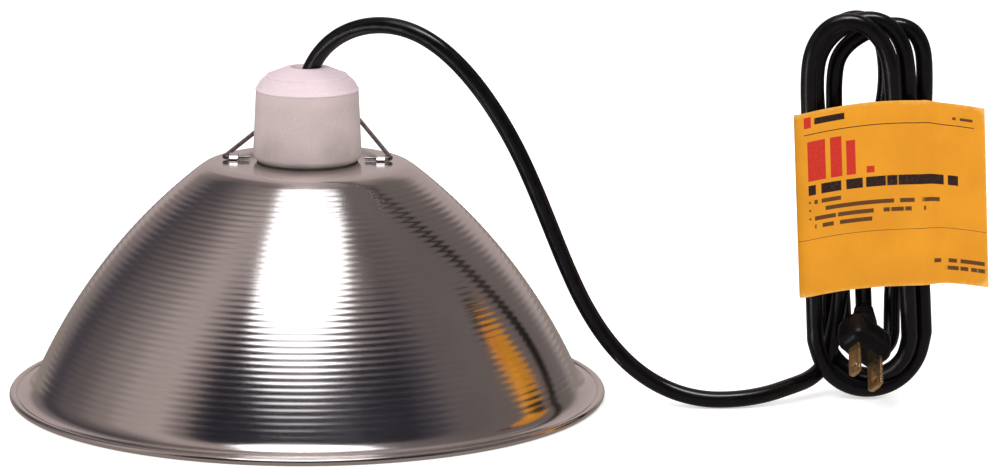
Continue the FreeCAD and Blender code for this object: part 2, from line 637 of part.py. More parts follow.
# ------------------------------------------------------------------ lampholder
def make_porcelain():
    """Body and cap of the lampholder, the washer under it and the ring that holds it."""
    turned("gasket", (
        ("neck_radius + neck_clear", "reflector_height"), ("gasket_radius", "reflector_height"),
        ("gasket_radius", "base_z"), ("neck_radius + neck_clear", "base_z")))
    body = turned("socket_body", (
        ("pocket_radius", "mouth_z"), ("neck_radius", "mouth_z"), ("neck_radius", "base_z"),
        ("holder_base", "base_z"), ("holder_radius", "base_z + holder_hem"),
        ("holder_radius", "base_z + holder_belly"), ("holder_top", "seam_z"),
        ("wiring_radius", "seam_z"), ("wiring_radius", "web_z"), ("0", "web_z"),
        ("0", "pocket_z"), ("pocket_radius", "pocket_z")))
    softened(body, "socket_body_rounding", "holder_round", ("holder_radius", "base_z + holder_hem"))
    drilled(body, "socket_body_rivet_holes", "pocket_z", "web_thick",
            ("0", "0", "contact_rivet_radius + hole_clear / 2"),
            ("fixing_circle", "0", "rivet_radius + hole_clear / 2"),
            ("-fixing_circle", "0", "rivet_radius + hole_clear / 2"),
            ("0", "fixing_circle", "cap_screw_radius + hole_clear"),
            ("0", "-fixing_circle", "cap_screw_radius + hole_clear"))
    drilled(body, "socket_body_counterbores", "pocket_z", "cap_screw_sink",
            ("0", "fixing_circle", "cap_screw_head + hole_clear"),
            ("0", "-fixing_circle", "cap_screw_head + hole_clear"))
    drilled(body, "socket_body_terminal_holes", "web_z - terminal_bore", "terminal_bore",
            ("terminal_place", "terminal_place", "screw_radius + hole_clear"),
            ("-terminal_place", "-terminal_place", "screw_radius + hole_clear"))
    cap = turned("socket_cap", (
        ("cord_hole", "cap_roof_z"), ("cord_hole", "cap_roof_z + cord_throat"),
        ("cord_mouth", "cap_top_z"), ("cap_flat", "cap_top_z"),
        ("cap_edge", "cap_top_z - cap_edge_drop"), ("cap_radius", "seam_z + cap_rim"),
        ("cap_radius", "seam_z"), ("cap_inner", "seam_z"), ("cap_inner", "seam_z + cap_skirt"),
        ("cap_ceiling", "cap_roof_z")))
    softened(cap, "socket_cap_rounding", "cap_round",
             ("cap_edge", "cap_top_z - cap_edge_drop"), ("cap_flat", "cap_top_z"))
    posts = new_sketch(cap, "socket_cap_post_places", "XY_Plane", "post_z")
    for up in ("fixing_circle", "-fixing_circle"):
        draw_circle(posts, "0", up, "post_radius")
    padded(cap, "socket_cap_posts", posts, "cap_roof_z - post_z + cord_throat / 4")
    for name, level, depth, bore in (
            ("insert_bores", "post_z", "insert_length", "insert_radius"),
            ("screw_ends", "post_z + insert_length", "cap_screw_room", "cap_screw_radius + hole_clear")):
        drilled(cap, "socket_cap_" + name, level, depth,
                ("0", "fixing_circle", bore), ("0", "-fixing_circle", bore))


def make_retaining_ring():
    """Ring nut under the crown, with grip notches round its edge."""
    ring = turned("retaining_ring", (
        ("neck_radius + ring_clear", "ring_z"), ("ring_outer", "ring_z"),
        ("ring_outer", "ring_z + ring_height"), ("neck_radius + ring_clear", "ring_z + ring_height")))
    sketch = new_sketch(ring, "retaining_ring_notch", "XY_Plane", "ring_z")
    draw_outline(sketch, (
        ("ring_outer - notch_depth", "-notch_width / 2"), ("ring_outer + 1", "-notch_width / 2"),
        ("ring_outer + 1", "notch_width / 2"), ("ring_outer - notch_depth", "notch_width / 2")))
    notch = pocketed(ring, "retaining_ring_first_notch", sketch, "ring_height")
    pattern = ring.newObject("PartDesign::PolarPattern", "retaining_ring_notches")
    pattern.Originals = [notch]
    pattern.Axis = (sketch, ["N_Axis"])
    pattern.Angle = 360
    bind(pattern, Occurrences="notch_count")
    ring.Tip = pattern


def shell_outline():
    """Section of the screw shell: a ridge and a groove for each turn, then the end plate."""
    turns = int(value("thread_turns"))
    inner = [("thread_crest", "shell_z")]
    for turn in range(turns):
        start = "shell_z + shell_lead + %d * thread_pitch" % turn
        inner += [("thread_crest", start + " + thread_land"),
                  ("thread_root", start + " + thread_land + thread_flank")]
        if turn < turns - 1:
            inner += [("thread_root", start + " + thread_pitch - thread_flank"),
                      ("thread_crest", start + " + thread_pitch")]
    outer = [(radius + " + shell_wall", height) for radius, height in reversed(inner)]
    end = [("thread_root", "disc_z - shell_wall"), ("contact_hole", "disc_z - shell_wall"),
           ("contact_hole", "disc_z"), ("thread_root + shell_wall", "disc_z")]
    return inner + end + outer


def make_shell():
    """Brass screw shell and the insulating disc above it, with their fixing holes."""
    shell = turned("screw_shell", shell_outline())
    disc = turned("insulating_disc", (
        ("contact_hole", "disc_z"), ("disc_radius", "disc_z"),
        ("disc_radius", "pocket_z"), ("contact_hole", "pocket_z")))
    for piece, level, depth in ((shell, "disc_z - shell_wall", "shell_wall"),
                                (disc, "disc_z", "disc_thick")):
        drilled(piece, piece.Label + "_holes", level, depth,
                ("fixing_circle", "0", "rivet_radius + hole_clear / 2"),
                ("-fixing_circle", "0", "rivet_radius + hole_clear / 2"),
                ("0", "fixing_circle", "cap_screw_head + hole_clear"),
                ("0", "-fixing_circle", "cap_screw_head + hole_clear"))


def make_contact():
    """Centre contact: a folded spring leaf, the button on it and the rivet that holds it."""
    leaf = new_body("contact_spring")
    sketch = new_sketch(leaf, "contact_spring_section", "XZ_Plane")
    low, high = "leaf_z", "pocket_z"
    draw_outline(sketch, (
        ("-leaf_tail", high), ("leaf_reach - leaf_thick", high), ("leaf_reach", high + " - leaf_thick"),
        ("leaf_reach", low + " + leaf_thick"), ("leaf_reach - leaf_thick", low), ("-leaf_tail", low),
        ("-leaf_tail", low + " + leaf_thick"), ("leaf_reach - 1.5 * leaf_thick", low + " + leaf_thick"),
        ("leaf_reach - leaf_thick", low + " + 1.5 * leaf_thick"),
        ("leaf_reach - leaf_thick", high + " - 1.5 * leaf_thick"),
        ("leaf_reach - 1.5 * leaf_thick", high + " - leaf_thick"), ("-leaf_tail", high + " - leaf_thick")))
    padded(leaf, "contact_spring_strip", sketch, "leaf_width", midplane=True)
    drilled(leaf, "contact_spring_hole", "pocket_z - 2 * leaf_thick", "2 * leaf_thick",
            ("0", "0", "contact_rivet_radius + hole_clear / 2"))
    button = cylinder("button_disc", "button_radius", "button_thick", z="leaf_z - button_thick")
    nose = doc.addObject("Part::Cone", "button_nose")
    bind(nose, Radius1="0.6 * button_radius", Radius2="button_radius", Height="0.4 * button_thick")
    place(nose, z="leaf_z - 1.4 * button_thick")
    joined("contact_button", button, nose)
    low_head = cylinder("contact_rivet_low", "contact_rivet_head", "head_thick",
                        z="pocket_z - leaf_thick - head_thick")
    shank = cylinder("contact_rivet_shank", "contact_rivet_radius", "terminal_z - pocket_z + leaf_thick",
                     z="pocket_z - leaf_thick")
    top_head = cylinder("contact_rivet_top", "contact_rivet_head", "head_thick", z="terminal_z")
    joined("contact_rivet", low_head, shank, top_head)


def make_shell_rivets():
    """The two rivets that hold the shell and the disc to the porcelain."""
    pieces = []
    foot = "disc_z - shell_wall"
    for name, x, top in (("near_rivet", "fixing_circle", "terminal_z"),
                         ("far_rivet", "-fixing_circle", "web_z")):
        pieces += [cylinder(name + "_head", "rivet_head", "head_thick", x, z=foot + " - head_thick"),
                   cylinder(name + "_shank", "rivet_radius", "%s - (%s)" % (top, foot), x, z=foot),
                   cylinder(name + "_peen", "rivet_head", "head_thick", x, z=top)]
    joined("shell_rivets", *pieces)


def make_terminals():
    """Neutral terminal on the shell rivet, line terminal on the contact rivet."""
    neutral = new_body("neutral_terminal")
    plan = new_sketch(neutral, "neutral_terminal_plan", "XY_Plane", "web_z")
    left, right = "fixing_circle - terminal_width / 2", "terminal_place + terminal_width / 2"
    far = "terminal_place + terminal_width / 2"
    near = "-terminal_width / 2"
    draw_outline(plan, ((left, near), (right, near), (right, far), (left, far)))
    padded(neutral, "neutral_terminal_plate", plan, "terminal_thick")
    drilled(neutral, "neutral_terminal_holes", "web_z", "terminal_thick",
            ("fixing_circle", "0", "rivet_radius + hole_clear / 2"),
            ("terminal_place", "terminal_place", "screw_radius + hole_clear / 2"))
    line = new_body("line_terminal")
    plan = new_sketch(line, "line_terminal_plan", "XY_Plane", "web_z")
    wide = "terminal_width / 3"
    far = "terminal_place + " + wide
    bevel = "-terminal_place + terminal_width / 4"
    draw_outline(plan, ((wide, "-(%s)" % wide), (wide, wide), ("-(%s)" % wide, wide),
                        ("-(%s)" % far, bevel), ("-(%s)" % far, "-(%s)" % far), (bevel, "-(%s)" % far)))
    padded(line, "line_terminal_plate", plan, "terminal_thick")
    drilled(line, "line_terminal_holes", "web_z", "terminal_thick",
            ("0", "0", "contact_rivet_radius + hole_clear / 2"),
            ("-terminal_place", "-terminal_place", "screw_radius + hole_clear / 2"))


def slotted_screw(name, x, y, foot, neck, shank_radius, head_radius, head_height, head_up=True):
    """A screw along Z with a slotted head above or below its shank."""
    shank = cylinder(name + "_shank", shank_radius, "(%s) - (%s)" % (neck, foot), x, y, foot)
    head_foot = neck if head_up else "(%s) - (%s)" % (foot, head_height)
    head = cylinder(name + "_head", head_radius, head_height, x, y, head_foot)
    slot_foot = "(%s) + (%s) - slot_depth" % (head_foot, head_height) if head_up else head_foot
    slot = block(name + "_slot", "2 * (%s)" % head_radius, "slot_width", "slot_depth",
                 "(%s) - (%s)" % (x, head_radius), "(%s) - slot_width / 2" % y, slot_foot)
    whole = doc.addObject("Part::MultiFuse", name + "_blank")
    whole.Shapes = [shank, head]
    return cut_from(name, whole, slot)


def make_screws():
    """Terminal screws, cap screws and the threaded inserts that the cap screws enter."""
    for name, place_sign in (("neutral_screw", ""), ("line_screw", "-")):
        spot = place_sign + "terminal_place"
        parts[name] = slotted_screw(name, spot, spot, "terminal_z - screw_reach", "terminal_z + wire_gap",
                                    "screw_radius", "screw_head", "screw_head_thick")
    screws = []
    inserts = []
    for number, y in enumerate(("fixing_circle", "-fixing_circle")):
        under = "pocket_z + cap_screw_sink"
        end = "post_z + insert_length + cap_screw_end"
        screws.append(slotted_screw("cap_screw_%d" % number, "0", y, under, end,
                                    "cap_screw_radius", "cap_screw_head", "cap_screw_top", head_up=False))
        sleeve = cylinder("insert_sleeve_%d" % number, "insert_radius", "insert_length", "0", y, "post_z")
        bore = cylinder("insert_bore_%d" % number, "cap_screw_radius + insert_fit", "insert_length",
                        "0", y, "post_z")
        inserts.append(cut_from("cap_insert_%d" % number, sleeve, bore))
    joined("cap_screws", *screws)
    joined("cap_inserts", *inserts)


def make_cord_clamp():
    """Clamp on the lead's jacket, wider than the cord hole, under the roof of the cap."""
    clamp = new_body("cord_clamp")
    sketch = new_sketch(clamp, "cord_clamp_plan", "XY_Plane", "cap_roof_z - clamp_height")
    draw_rounded(sketch, "-clamp_half_y", "clamp_half_y", "-clamp_half_x", "clamp_half_x", "clamp_corner")
    draw_circle(sketch, "0", "0", "clamp_bore")
    padded(clamp, "cord_clamp_block", sketch, "clamp_height")


def make_core(name, side):
    """One insulated core of the lead, stripped at its end and bent round its terminal screw."""
    place_out = value("terminal_place")
    level = value("terminal_z + wire_gap / 2")
    start = Vector(*FREE_RUN[0]) + Vector(side * value("core_spread"), 0, -value("core_start"))
    bends = [Vector(side * place_out * across, side * place_out * along, level + rise)
             for across, along, rise in CORE_RUN]
    insulation = swept(rounded_path([start] + bends, [value("core_bend")]), value("core_radius"))
    hook = side * value("screw_radius + copper_radius + copper_gap")
    eye = Vector(side * place_out, side * place_out, level)
    near = eye - Vector(0, hook, 0)
    ends = [near - Vector(side * value("copper_lead"), 0, 0), near]
    copper = value("copper_radius")
    bare = swept(rounded_path(bends + ends, [value("copper_bend")] * 2), copper)
    round_screw = Part.Wire(Part.Arc(near, eye + Vector(hook, 0, 0), eye + Vector(0, hook, 0)).toShape())
    shaped(name, insulation.fuse([bare, swept(round_screw, copper)]).removeSplitter())


# ------------------------------------------------------------------ lead, hank, sleeve and plug
def hank_place():
    """Placement of the hank's own frame: its foot's middle, leaning about Y."""
    foot = Vector(value("hank_x"), value("hank_y"), value("hank_rise"))
    return Placement(foot, Rotation(Vector(0, 1, 0), value("hank_lean")))


def lean_with_hank(body):
    """Bind a body's placement to the hank's frame."""
    body.Placement = hank_place()
    place(body, "hank_x", "hank_y", "hank_rise")


def make_hank():
    """The wound length of the lead, as one solid of its outer shape with its eye."""
    hank = new_body("cord_hank")
    sketch = new_sketch(hank, "cord_hank_outline", "XZ_Plane")
    draw_rounded(sketch, "0", "hank_height", "-hank_half", "hank_half", "hank_round")
    draw_rounded(sketch, "eye_low", "eye_high", "-eye_half", "eye_half", "eye_round")
    padded(hank, "cord_hank_turns", sketch, "hank_thick", midplane=True)
    lean_with_hank(hank)


def make_sleeve():
    """Card sleeve round the hank, with a doubled flap stapled along its right side."""
    sleeve = new_body("card_sleeve")
    sketch = new_sketch(sleeve, "card_sleeve_plan", "XY_Plane", "card_low")
    draw_rounded(sketch, "-card_front", "card_back", "-card_half", "card_half", "card_corner")
    draw_rounded(sketch, "-card_front + card_thick", "card_back - card_thick",
                 "-card_half + card_thick", "card_half - card_thick", "card_corner - card_thick")
    padded(sleeve, "card_sleeve_wrap", sketch, "card_high - card_low")
    flap = new_sketch(sleeve, "card_sleeve_flap_plan", "XY_Plane", "card_low")
    draw_outline(flap, (("card_half - card_thick / 2", "-flap_front"), ("flap_reach", "-flap_front"),
                        ("flap_reach", "-flap_front + 2 * card_thick"),
                        ("card_half - card_thick / 2", "-flap_front + 2 * card_thick")))
    padded(sleeve, "card_sleeve_flap", flap, "card_high - card_low")
    lean_with_hank(sleeve)
    staples = []
    wire = value("staple_wire")
    back = -value("flap_front") + 2 * value("card_thick")
    across = value("card_half + flap_reach") / 2
    for height in (value("card_low + staple_inset"), value("card_high - staple_inset")):
        length = value("staple_crown")
        corner = Vector(across - wire / 2, back, height - length / 2)
        staples.append(Part.makeBox(wire, wire, length, corner))
    group = shaped("sleeve_staples", Part.makeCompound(staples))
    group.Placement = hank_place()


def plug_place():
    """Placement of the plug: its face's middle, with its own Z towards the lead."""
    turn = (Rotation(Vector(0, 0, 1), value("plug_yaw"))
            * Rotation(Vector(1, 0, 0), value("plug_droop") - 90)
            * Rotation(Vector(0, 0, 1), value("plug_roll")))
    return Placement(Vector(value("plug_x"), value("plug_y"), value("plug_z")), turn)


def make_plug():
    """Moulded plug with its strain relief, and the two blades set in it."""
    plug = new_body("plug_body")
    face = new_sketch(plug, "plug_body_face", "XY_Plane")
    draw_rounded(face, "-plug_half_y", "plug_half_y", "-plug_half_x", "plug_half_x", "plug_corner")
    padded(plug, "plug_body_moulding", face, "plug_depth")
    relief = plug.newObject("PartDesign::AdditiveCone", "plug_body_relief")
    bind(relief, Radius1="relief_radius", Radius2="cord_radius + relief_wall", Height="relief_length")
    relief.AttachmentSupport = (origin_plane(plug, "XY_Plane"), [""])
    relief.MapMode = "FlatFace"
    bind(relief, AttachmentOffset__Base__z="plug_depth")
    plug.Tip = relief
    slots = new_sketch(plug, "plug_body_blade_slots", "XY_Plane")
    for side, width in (("-", "blade_narrow"), ("", "blade_wide")):
        x0 = side + "blade_spacing / 2 - blade_thick / 2"
        x1 = side + "blade_spacing / 2 + blade_thick / 2"
        low, high = "-%s / 2" % width, width + " / 2"
        draw_outline(slots, ((x0, low), (x1, low), (x1, high), (x0, high)))
    pocketed(plug, "plug_body_slots", slots, "blade_root")
    plug.Placement = plug_place()
    for name, side, width in (("plug_blade_narrow", "-", "blade_narrow"),
                              ("plug_blade_wide", "", "blade_wide")):
        blade = new_body(name)
        outline = new_sketch(blade, name + "_outline", "YZ_Plane", side + "blade_spacing / 2")
        half = width + " / 2"
        nib = width + " / 4"
        neck = "blade_nib - blade_length"
        draw_outline(outline, (("-" + half, "blade_root"), (half, "blade_root"), (half, neck),
                               (nib, "-blade_length"), ("-" + nib, "-blade_length"), ("-" + half, neck)))
        draw_circle(outline, "0", "blade_hole_place - blade_length", "blade_hole")
        padded(blade, name + "_strip", outline, "blade_thick", midplane=True)
        blade.Placement = plug_place()


def check_and_write():
    """Recompute, make sure that every object and shape is sound, and write the pieces."""
    doc.recompute()
    for item in doc.Objects:
        if "Invalid" in item.State or "Error" in item.State:
            raise RuntimeError("failed: " + item.Name)
    os.makedirs("parts", exist_ok=True)
    for name, piece in sorted(parts.items()):
        shape = piece.Shape
        if shape.isNull() or not shape.isValid() or not shape.Solids:
            raise RuntimeError("bad shape: " + name)
        shape.exportStep("parts/%s.step" % name)
        box = shape.BoundBox
        reach = (box.XMin, box.XMax, box.YMin, box.YMax, box.ZMin, box.ZMax)
        print("%-20s solids %d volume %10.1f  x %.1f %.1f  y %.1f %.1f  z %.1f %.1f" % (
            (name, len(shape.Solids), shape.Volume) + reach))


fill_sheet()
make_reflector()
make_hanger()
make_porcelain()
make_retaining_ring()
make_shell()
make_contact()
make_shell_rivets()
make_terminals()
make_screws()
make_cord_clamp()
make_core("line_wire", -1)
make_core("neutral_wire", 1)
cord_tube("power_cord", FREE_RUN)
cord_tube("plug_lead", PLUG_RUN)
make_hank()
make_sleeve()
make_plug()
check_and_write()
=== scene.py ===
"""Heat lamp fixture: the finished look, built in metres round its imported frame.

A spun aluminium reflector stands on its rolled rim. Through its crown goes a porcelain
lampholder, a wire hanger lies folded back beside it, and a black mains lead runs down to a hank
in a printed card sleeve.
"""

import json
import logging
import math
from dataclasses import dataclass
from enum import Enum
from typing import Callable, Sequence

import bpy
from mathutils import Matrix, Vector


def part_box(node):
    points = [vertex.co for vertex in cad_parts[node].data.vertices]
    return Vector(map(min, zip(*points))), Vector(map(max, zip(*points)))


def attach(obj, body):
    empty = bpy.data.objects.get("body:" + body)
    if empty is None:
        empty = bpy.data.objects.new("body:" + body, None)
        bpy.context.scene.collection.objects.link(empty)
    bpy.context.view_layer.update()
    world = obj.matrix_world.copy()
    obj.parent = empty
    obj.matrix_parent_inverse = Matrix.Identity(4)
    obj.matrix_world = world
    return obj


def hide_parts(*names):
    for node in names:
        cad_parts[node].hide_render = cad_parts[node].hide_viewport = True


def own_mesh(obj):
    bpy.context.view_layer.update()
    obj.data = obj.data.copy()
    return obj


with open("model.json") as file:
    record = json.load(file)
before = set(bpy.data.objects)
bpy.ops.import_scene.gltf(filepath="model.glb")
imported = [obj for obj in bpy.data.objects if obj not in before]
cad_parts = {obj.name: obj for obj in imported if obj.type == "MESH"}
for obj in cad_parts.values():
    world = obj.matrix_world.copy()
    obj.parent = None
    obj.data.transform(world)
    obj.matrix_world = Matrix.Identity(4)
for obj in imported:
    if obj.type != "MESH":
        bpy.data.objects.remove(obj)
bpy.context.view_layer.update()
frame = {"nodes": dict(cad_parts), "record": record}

LOG = logging.getLogger("heat_lamp_fixture")
MM = 0.001
# points nearer to each other than this, in metres, are one point
DOUBLED = 1e-6
Pair = tuple[float, float]
Triple = tuple[float, float, float]
Colour = tuple[float, float, float, float]


class Body(Enum):
    """The three bodies of the frame that pieces ride on."""

    FIXTURE = "fixture"
    HANGER = "hanger"
    CONTACT = "contact"


BODY_OF: dict[str, Body] = {
    node: Body(body) for body, nodes in frame["record"]["behaviour"]["bodies"].items() for node in nodes}


# ------------------------------------------------------------------ bench work
class Bench:
    """The modelling bench: operator calls on one piece at a time, with a clean selection."""

    FLAT = math.radians(0.5)

    @staticmethod
    def clear() -> None:
        """Leave edit mode and deselect everything."""
        active = bpy.context.view_layer.objects.active
        if active is not None and active.mode != "OBJECT":
            bpy.ops.object.mode_set(mode="OBJECT")
        bpy.ops.object.select_all(action="DESELECT")

    @staticmethod
    def take(piece: bpy.types.Object) -> None:
        """Select one piece alone and make it active.

        Args:
            piece: the piece.
        """
        Bench.clear()
        piece.select_set(True)
        bpy.context.view_layer.objects.active = piece

    @staticmethod
    def named(name: str) -> bpy.types.Object:
        """Give the piece that was just added its name.

        Args:
            name: the name, for the piece and its mesh.

        Returns:
            The piece.
        """
        piece = bpy.context.object
        piece.name = name
        piece.data.name = name
        return piece

    @staticmethod
    def apply_all(piece: bpy.types.Object) -> None:
        """Apply the modifiers of a piece in order.

        Args:
            piece: the piece.
        """
        Bench.take(piece)
        for modifier in list(piece.modifiers):
            bpy.ops.object.modifier_apply(modifier=modifier.name)

    @staticmethod
    def smooth(piece: bpy.types.Object, angle: float = 35.0) -> None:
        """Shade a piece smooth, with its edges over an angle in degrees kept sharp."""
        Bench.take(piece)
        bpy.ops.object.shade_smooth_by_angle(angle=math.radians(angle))

    @staticmethod
    def tidy_normals() -> None:
        """Merge doubled points of the piece in edit mode and turn its faces outwards."""
        bpy.ops.mesh.select_all(action="SELECT")
        bpy.ops.mesh.remove_doubles(threshold=DOUBLED)
        bpy.ops.mesh.normals_make_consistent(inside=False)

    @staticmethod
    def seat(piece: bpy.types.Object, where: Matrix) -> None:
        """Move a piece's mesh to its place, with the object left at the origin."""
        piece.data.transform(where)
        piece.data.update()

    @staticmethod
    def join(name: str, pieces: Sequence[bpy.types.Object]) -> bpy.types.Object:
        """Join pieces into the first of them.

        Args:
            name: name of the joined piece.
            pieces: the pieces, all of one material.

        Returns:
            The joined piece.
        """
        Bench.clear()
        for piece in pieces:
            piece.select_set(True)
        bpy.context.view_layer.objects.active = pieces[0]
        bpy.ops.object.join()
        return Bench.named(name)

    @staticmethod
    def begin_outline(name: str, spot: Vector) -> bpy.types.Object:
        """A new piece in edit mode that holds one point.

        Args:
            name: name of the piece.
            spot: place of the point.

        Returns:
            The piece, its one point selected.
        """
        Bench.clear()
        bpy.ops.mesh.primitive_plane_add(size=MM)
        piece = Bench.named(name)
        bpy.ops.object.mode_set(mode="EDIT")
        bpy.ops.mesh.select_mode(type="VERT")
        bpy.ops.mesh.select_all(action="SELECT")
        bpy.ops.mesh.merge(type="CENTER")
        bpy.ops.transform.translate(value=spot)
        return piece

    @staticmethod
    def run_outline(points: Sequence[Vector]) -> None:
        """Extrude the selected point along an outline that starts where it lies."""
        for here, there in zip(points, points[1:]):
            bpy.ops.mesh.extrude_vertices_move(TRANSFORM_OT_translate={"value": there - here})

    @staticmethod
    def turned(name: str, outline: Sequence[Pair], steps: int = 96,
               closed: bool = True) -> bpy.types.Object:
        """A piece turned about the lamp axis.

        Args:
            name: name of the piece.
            outline: (radius, height) pairs in millimetres.
            steps: number of faces round the axis.
            closed: whether the outline comes back to its first point.

        Returns:
            The piece in object mode, smooth, its faces outwards.
        """
        points = [Vector((radius * MM, 0.0, height * MM)) for radius, height in outline]
        if closed:
            points.append(points[0])
        piece = Bench.begin_outline(name, points[0])
        Bench.run_outline(points)
        bpy.ops.mesh.select_all(action="SELECT")
        bpy.ops.mesh.spin(steps=steps, angle=2 * math.pi, center=(0, 0, 0), axis=(0, 0, 1))
        Bench.tidy_normals()
        bpy.ops.object.mode_set(mode="OBJECT")
        Bench.smooth(piece)
        return piece

    @staticmethod
    def wire(name: str, points: Sequence[Vector], radius: float, around: int = 6) -> bpy.types.Object:
        """A round wire through points, as a closed mesh.

        Args:
            name: name of the piece.
            points: points of the wire's line.
            radius: radius of the wire.
            around: resolution of its section.

        Returns:
            The wire in object mode.
        """
        curve = bpy.data.curves.new(name, "CURVE")
        curve.dimensions = "3D"
        curve.bevel_depth = radius
        curve.bevel_resolution = around
        curve.use_fill_caps = True
        line = curve.splines.new("POLY")
        line.points.add(len(points) - 1)
        for spot, point in zip(line.points, points):
            spot.co = (*point, 1.0)
        piece = bpy.data.objects.new(name, curve)
        bpy.context.scene.collection.objects.link(piece)
        Bench.take(piece)
        bpy.ops.object.convert(target="MESH")
        Bench.smooth(piece)
        return bpy.context.object

    @staticmethod
    def refined(node: str, name: str, edge: float = 0.0) -> bpy.types.Object:
        """A finished copy of a frame node: its facets merged, its edges eased, shaded smooth.

        Args:
            node: the frame node, whose shape is right as it is.
            name: name of the finished piece.
            edge: width of the eased edges in metres, or 0 for none.

        Returns:
            The finished piece, which stands for the node.
        """
        piece = bpy.data.objects.new(name, frame["nodes"][node].data.copy())
        piece.data.name = name
        bpy.context.scene.collection.objects.link(piece)
        Bench.take(piece)
        if piece.data.has_custom_normals:
            bpy.ops.mesh.customdata_custom_splitnormals_clear()
        bpy.ops.object.mode_set(mode="EDIT")
        bpy.ops.mesh.select_all(action="SELECT")
        bpy.ops.mesh.remove_doubles(threshold=DOUBLED)
        if edge:
            bpy.ops.mesh.dissolve_limited(angle_limit=Bench.FLAT)
        bpy.ops.object.mode_set(mode="OBJECT")
        if edge:
            Bench.ease_edges(piece, edge, segments=2, angle=40)
        Bench.smooth(piece, 30)
        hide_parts(node)
        return piece

    @staticmethod
    def ease_edges(piece: bpy.types.Object, width: float, segments: int, angle: float) -> None:
        """Round the sharp edges of a piece with a bevel and apply it.

        Args:
            piece: the piece.
            width: width of the bevel in metres.
            segments: faces across it.
            angle: smallest angle in degrees of an edge that is rounded.
        """
        ease = piece.modifiers.new("eased edges", "BEVEL")
        ease.width = width
        ease.segments = segments
        ease.limit_method = "ANGLE"
        ease.angle_limit = math.radians(angle)
        Bench.apply_all(piece)

    @staticmethod
    def block(name: str, size: Triple, middle: Triple) -> bpy.types.Object:
        """A block to shape further, left in edit mode with all of it selected.

        Args:
            name: name of the piece.
            size: its size in millimetres.
            middle: its middle in millimetres.

        Returns:
            The block.
        """
        Bench.clear()
        bpy.ops.mesh.primitive_cube_add(size=1, location=(0, 0, 0))
        piece = Bench.named(name)
        bpy.ops.object.mode_set(mode="EDIT")
        bpy.ops.mesh.select_all(action="SELECT")
        bpy.ops.transform.resize(value=Vector(size) * MM)
        bpy.ops.transform.translate(value=Vector(middle) * MM)
        return piece


def arc(centre: Pair, radius: float, start: float, end: float, count: int) -> list[Pair]:
    """Points of an arc in a turned outline.

    Args:
        centre: (radius, height) of the arc's middle.
        radius: its radius.
        start: its first angle in degrees, 0 outwards and 90 up.
        end: its last angle.
        count: number of points.

    Returns:
        The points, both ends included.
    """
    across, up = centre
    angles = [math.radians(start + (end - start) * step / (count - 1)) for step in range(count)]
    return [(across + radius * math.cos(angle), up + radius * math.sin(angle)) for angle in angles]


# ------------------------------------------------------------------ shader work
class Graph:
    """A shader tree under construction."""

    def __init__(self, tree: bpy.types.NodeTree) -> None:
        """Work on a node tree."""
        self.tree = tree

    def add(self, kind: str, inputs: dict | None = None, **settings: object) -> bpy.types.Node:
        """Add a node.

        Args:
            kind: the node's type.
            inputs: values or output sockets for its inputs, by name or number.
            settings: values for its properties.

        Returns:
            The node.
        """
        node = self.tree.nodes.new(kind)
        for name, setting in settings.items():
            setattr(node, name, setting)
        for name, given in (inputs or {}).items():
            self.feed(node.inputs[name], given)
        return node

    def feed(self, socket: bpy.types.NodeSocket, given: object) -> None:
        """Link an output to an input, or set the input's own value.

        Args:
            socket: the input.
            given: an output socket or a plain value.
        """
        if isinstance(given, bpy.types.NodeSocket):
            self.tree.links.new(given, socket)
        else:
            socket.default_value = given

    def math(self, operation: str, *given: object) -> bpy.types.NodeSocket:
        """The result of a Math node."""
        return self.add("ShaderNodeMath", dict(enumerate(given)), operation=operation).outputs[0]

    def scaled(self, vector: object, sizes: Triple) -> bpy.types.NodeSocket:
        """A vector multiplied along each axis."""
        node = self.add("ShaderNodeVectorMath", {0: vector, 1: sizes}, operation="MULTIPLY")
        return node.outputs[0]

    def noise(self, vector: object, scale: object, detail: float = 3.0,
              rough: float = 0.55) -> bpy.types.NodeSocket:
        """The value of a Noise texture."""
        given = {"Vector": vector, "Scale": scale, "Detail": detail, "Roughness": rough}
        return self.add("ShaderNodeTexNoise", given).outputs["Fac"]

    def between(self, value: object, low: object, high: object, out_low: object = 0.0,
                out_high: object = 1.0) -> bpy.types.NodeSocket:
        """A value brought smoothly from one range to another."""
        given = {"Value": value, "From Min": low, "From Max": high, "To Min": out_low, "To Max": out_high}
        return self.add("ShaderNodeMapRange", given, interpolation_type="SMOOTHSTEP").outputs["Result"]

    def mix(self, share: object, first: object, second: object) -> bpy.types.NodeSocket:
        """Two colours mixed by a share.

        Args:
            share: how much of the second colour, from 0 to 1.
            first: a colour or its socket.
            second: a colour or its socket.

        Returns:
            The mixed colour.
        """
        node = self.add("ShaderNodeMix", data_type="RGBA", blend_type="MIX", clamp_factor=True)
        colours = [socket for socket in node.inputs if socket.type == "RGBA"]
        self.feed(node.inputs[0], share)
        self.feed(colours[0], first)
        self.feed(colours[1], second)
        return next(socket for socket in node.outputs if socket.type == "RGBA")

    def bump(self, height: object, strength: float, distance: float,
             normal: object = None) -> bpy.types.NodeSocket:
        """A normal bumped by a height.

        Args:
            height: the height's socket.
            strength: share of the bump that is used.
            distance: depth of the bump in metres.
            normal: a normal to start from, or None for the surface's own.

        Returns:
            The bumped normal.
        """
        given = {"Height": height, "Strength": strength, "Distance": distance}
        if normal is not None:
            given["Normal"] = normal
        return self.add("ShaderNodeBump", given).outputs["Normal"]

    def place(self) -> bpy.types.NodeSocket:
        """The place of each point in the fixture's own frame."""
        return self.add("ShaderNodeTexCoord").outputs["Object"]


class Effect(Enum):
    """Surface effects that several finishes share, each a shader group built once."""

    MOTTLE = "mottle"
    SPIN_LINES = "spin_lines"
    RUBBED_EDGES = "rubbed_edges"
    DUST = "dust"
    PRINTED_BAR = "printed_bar"


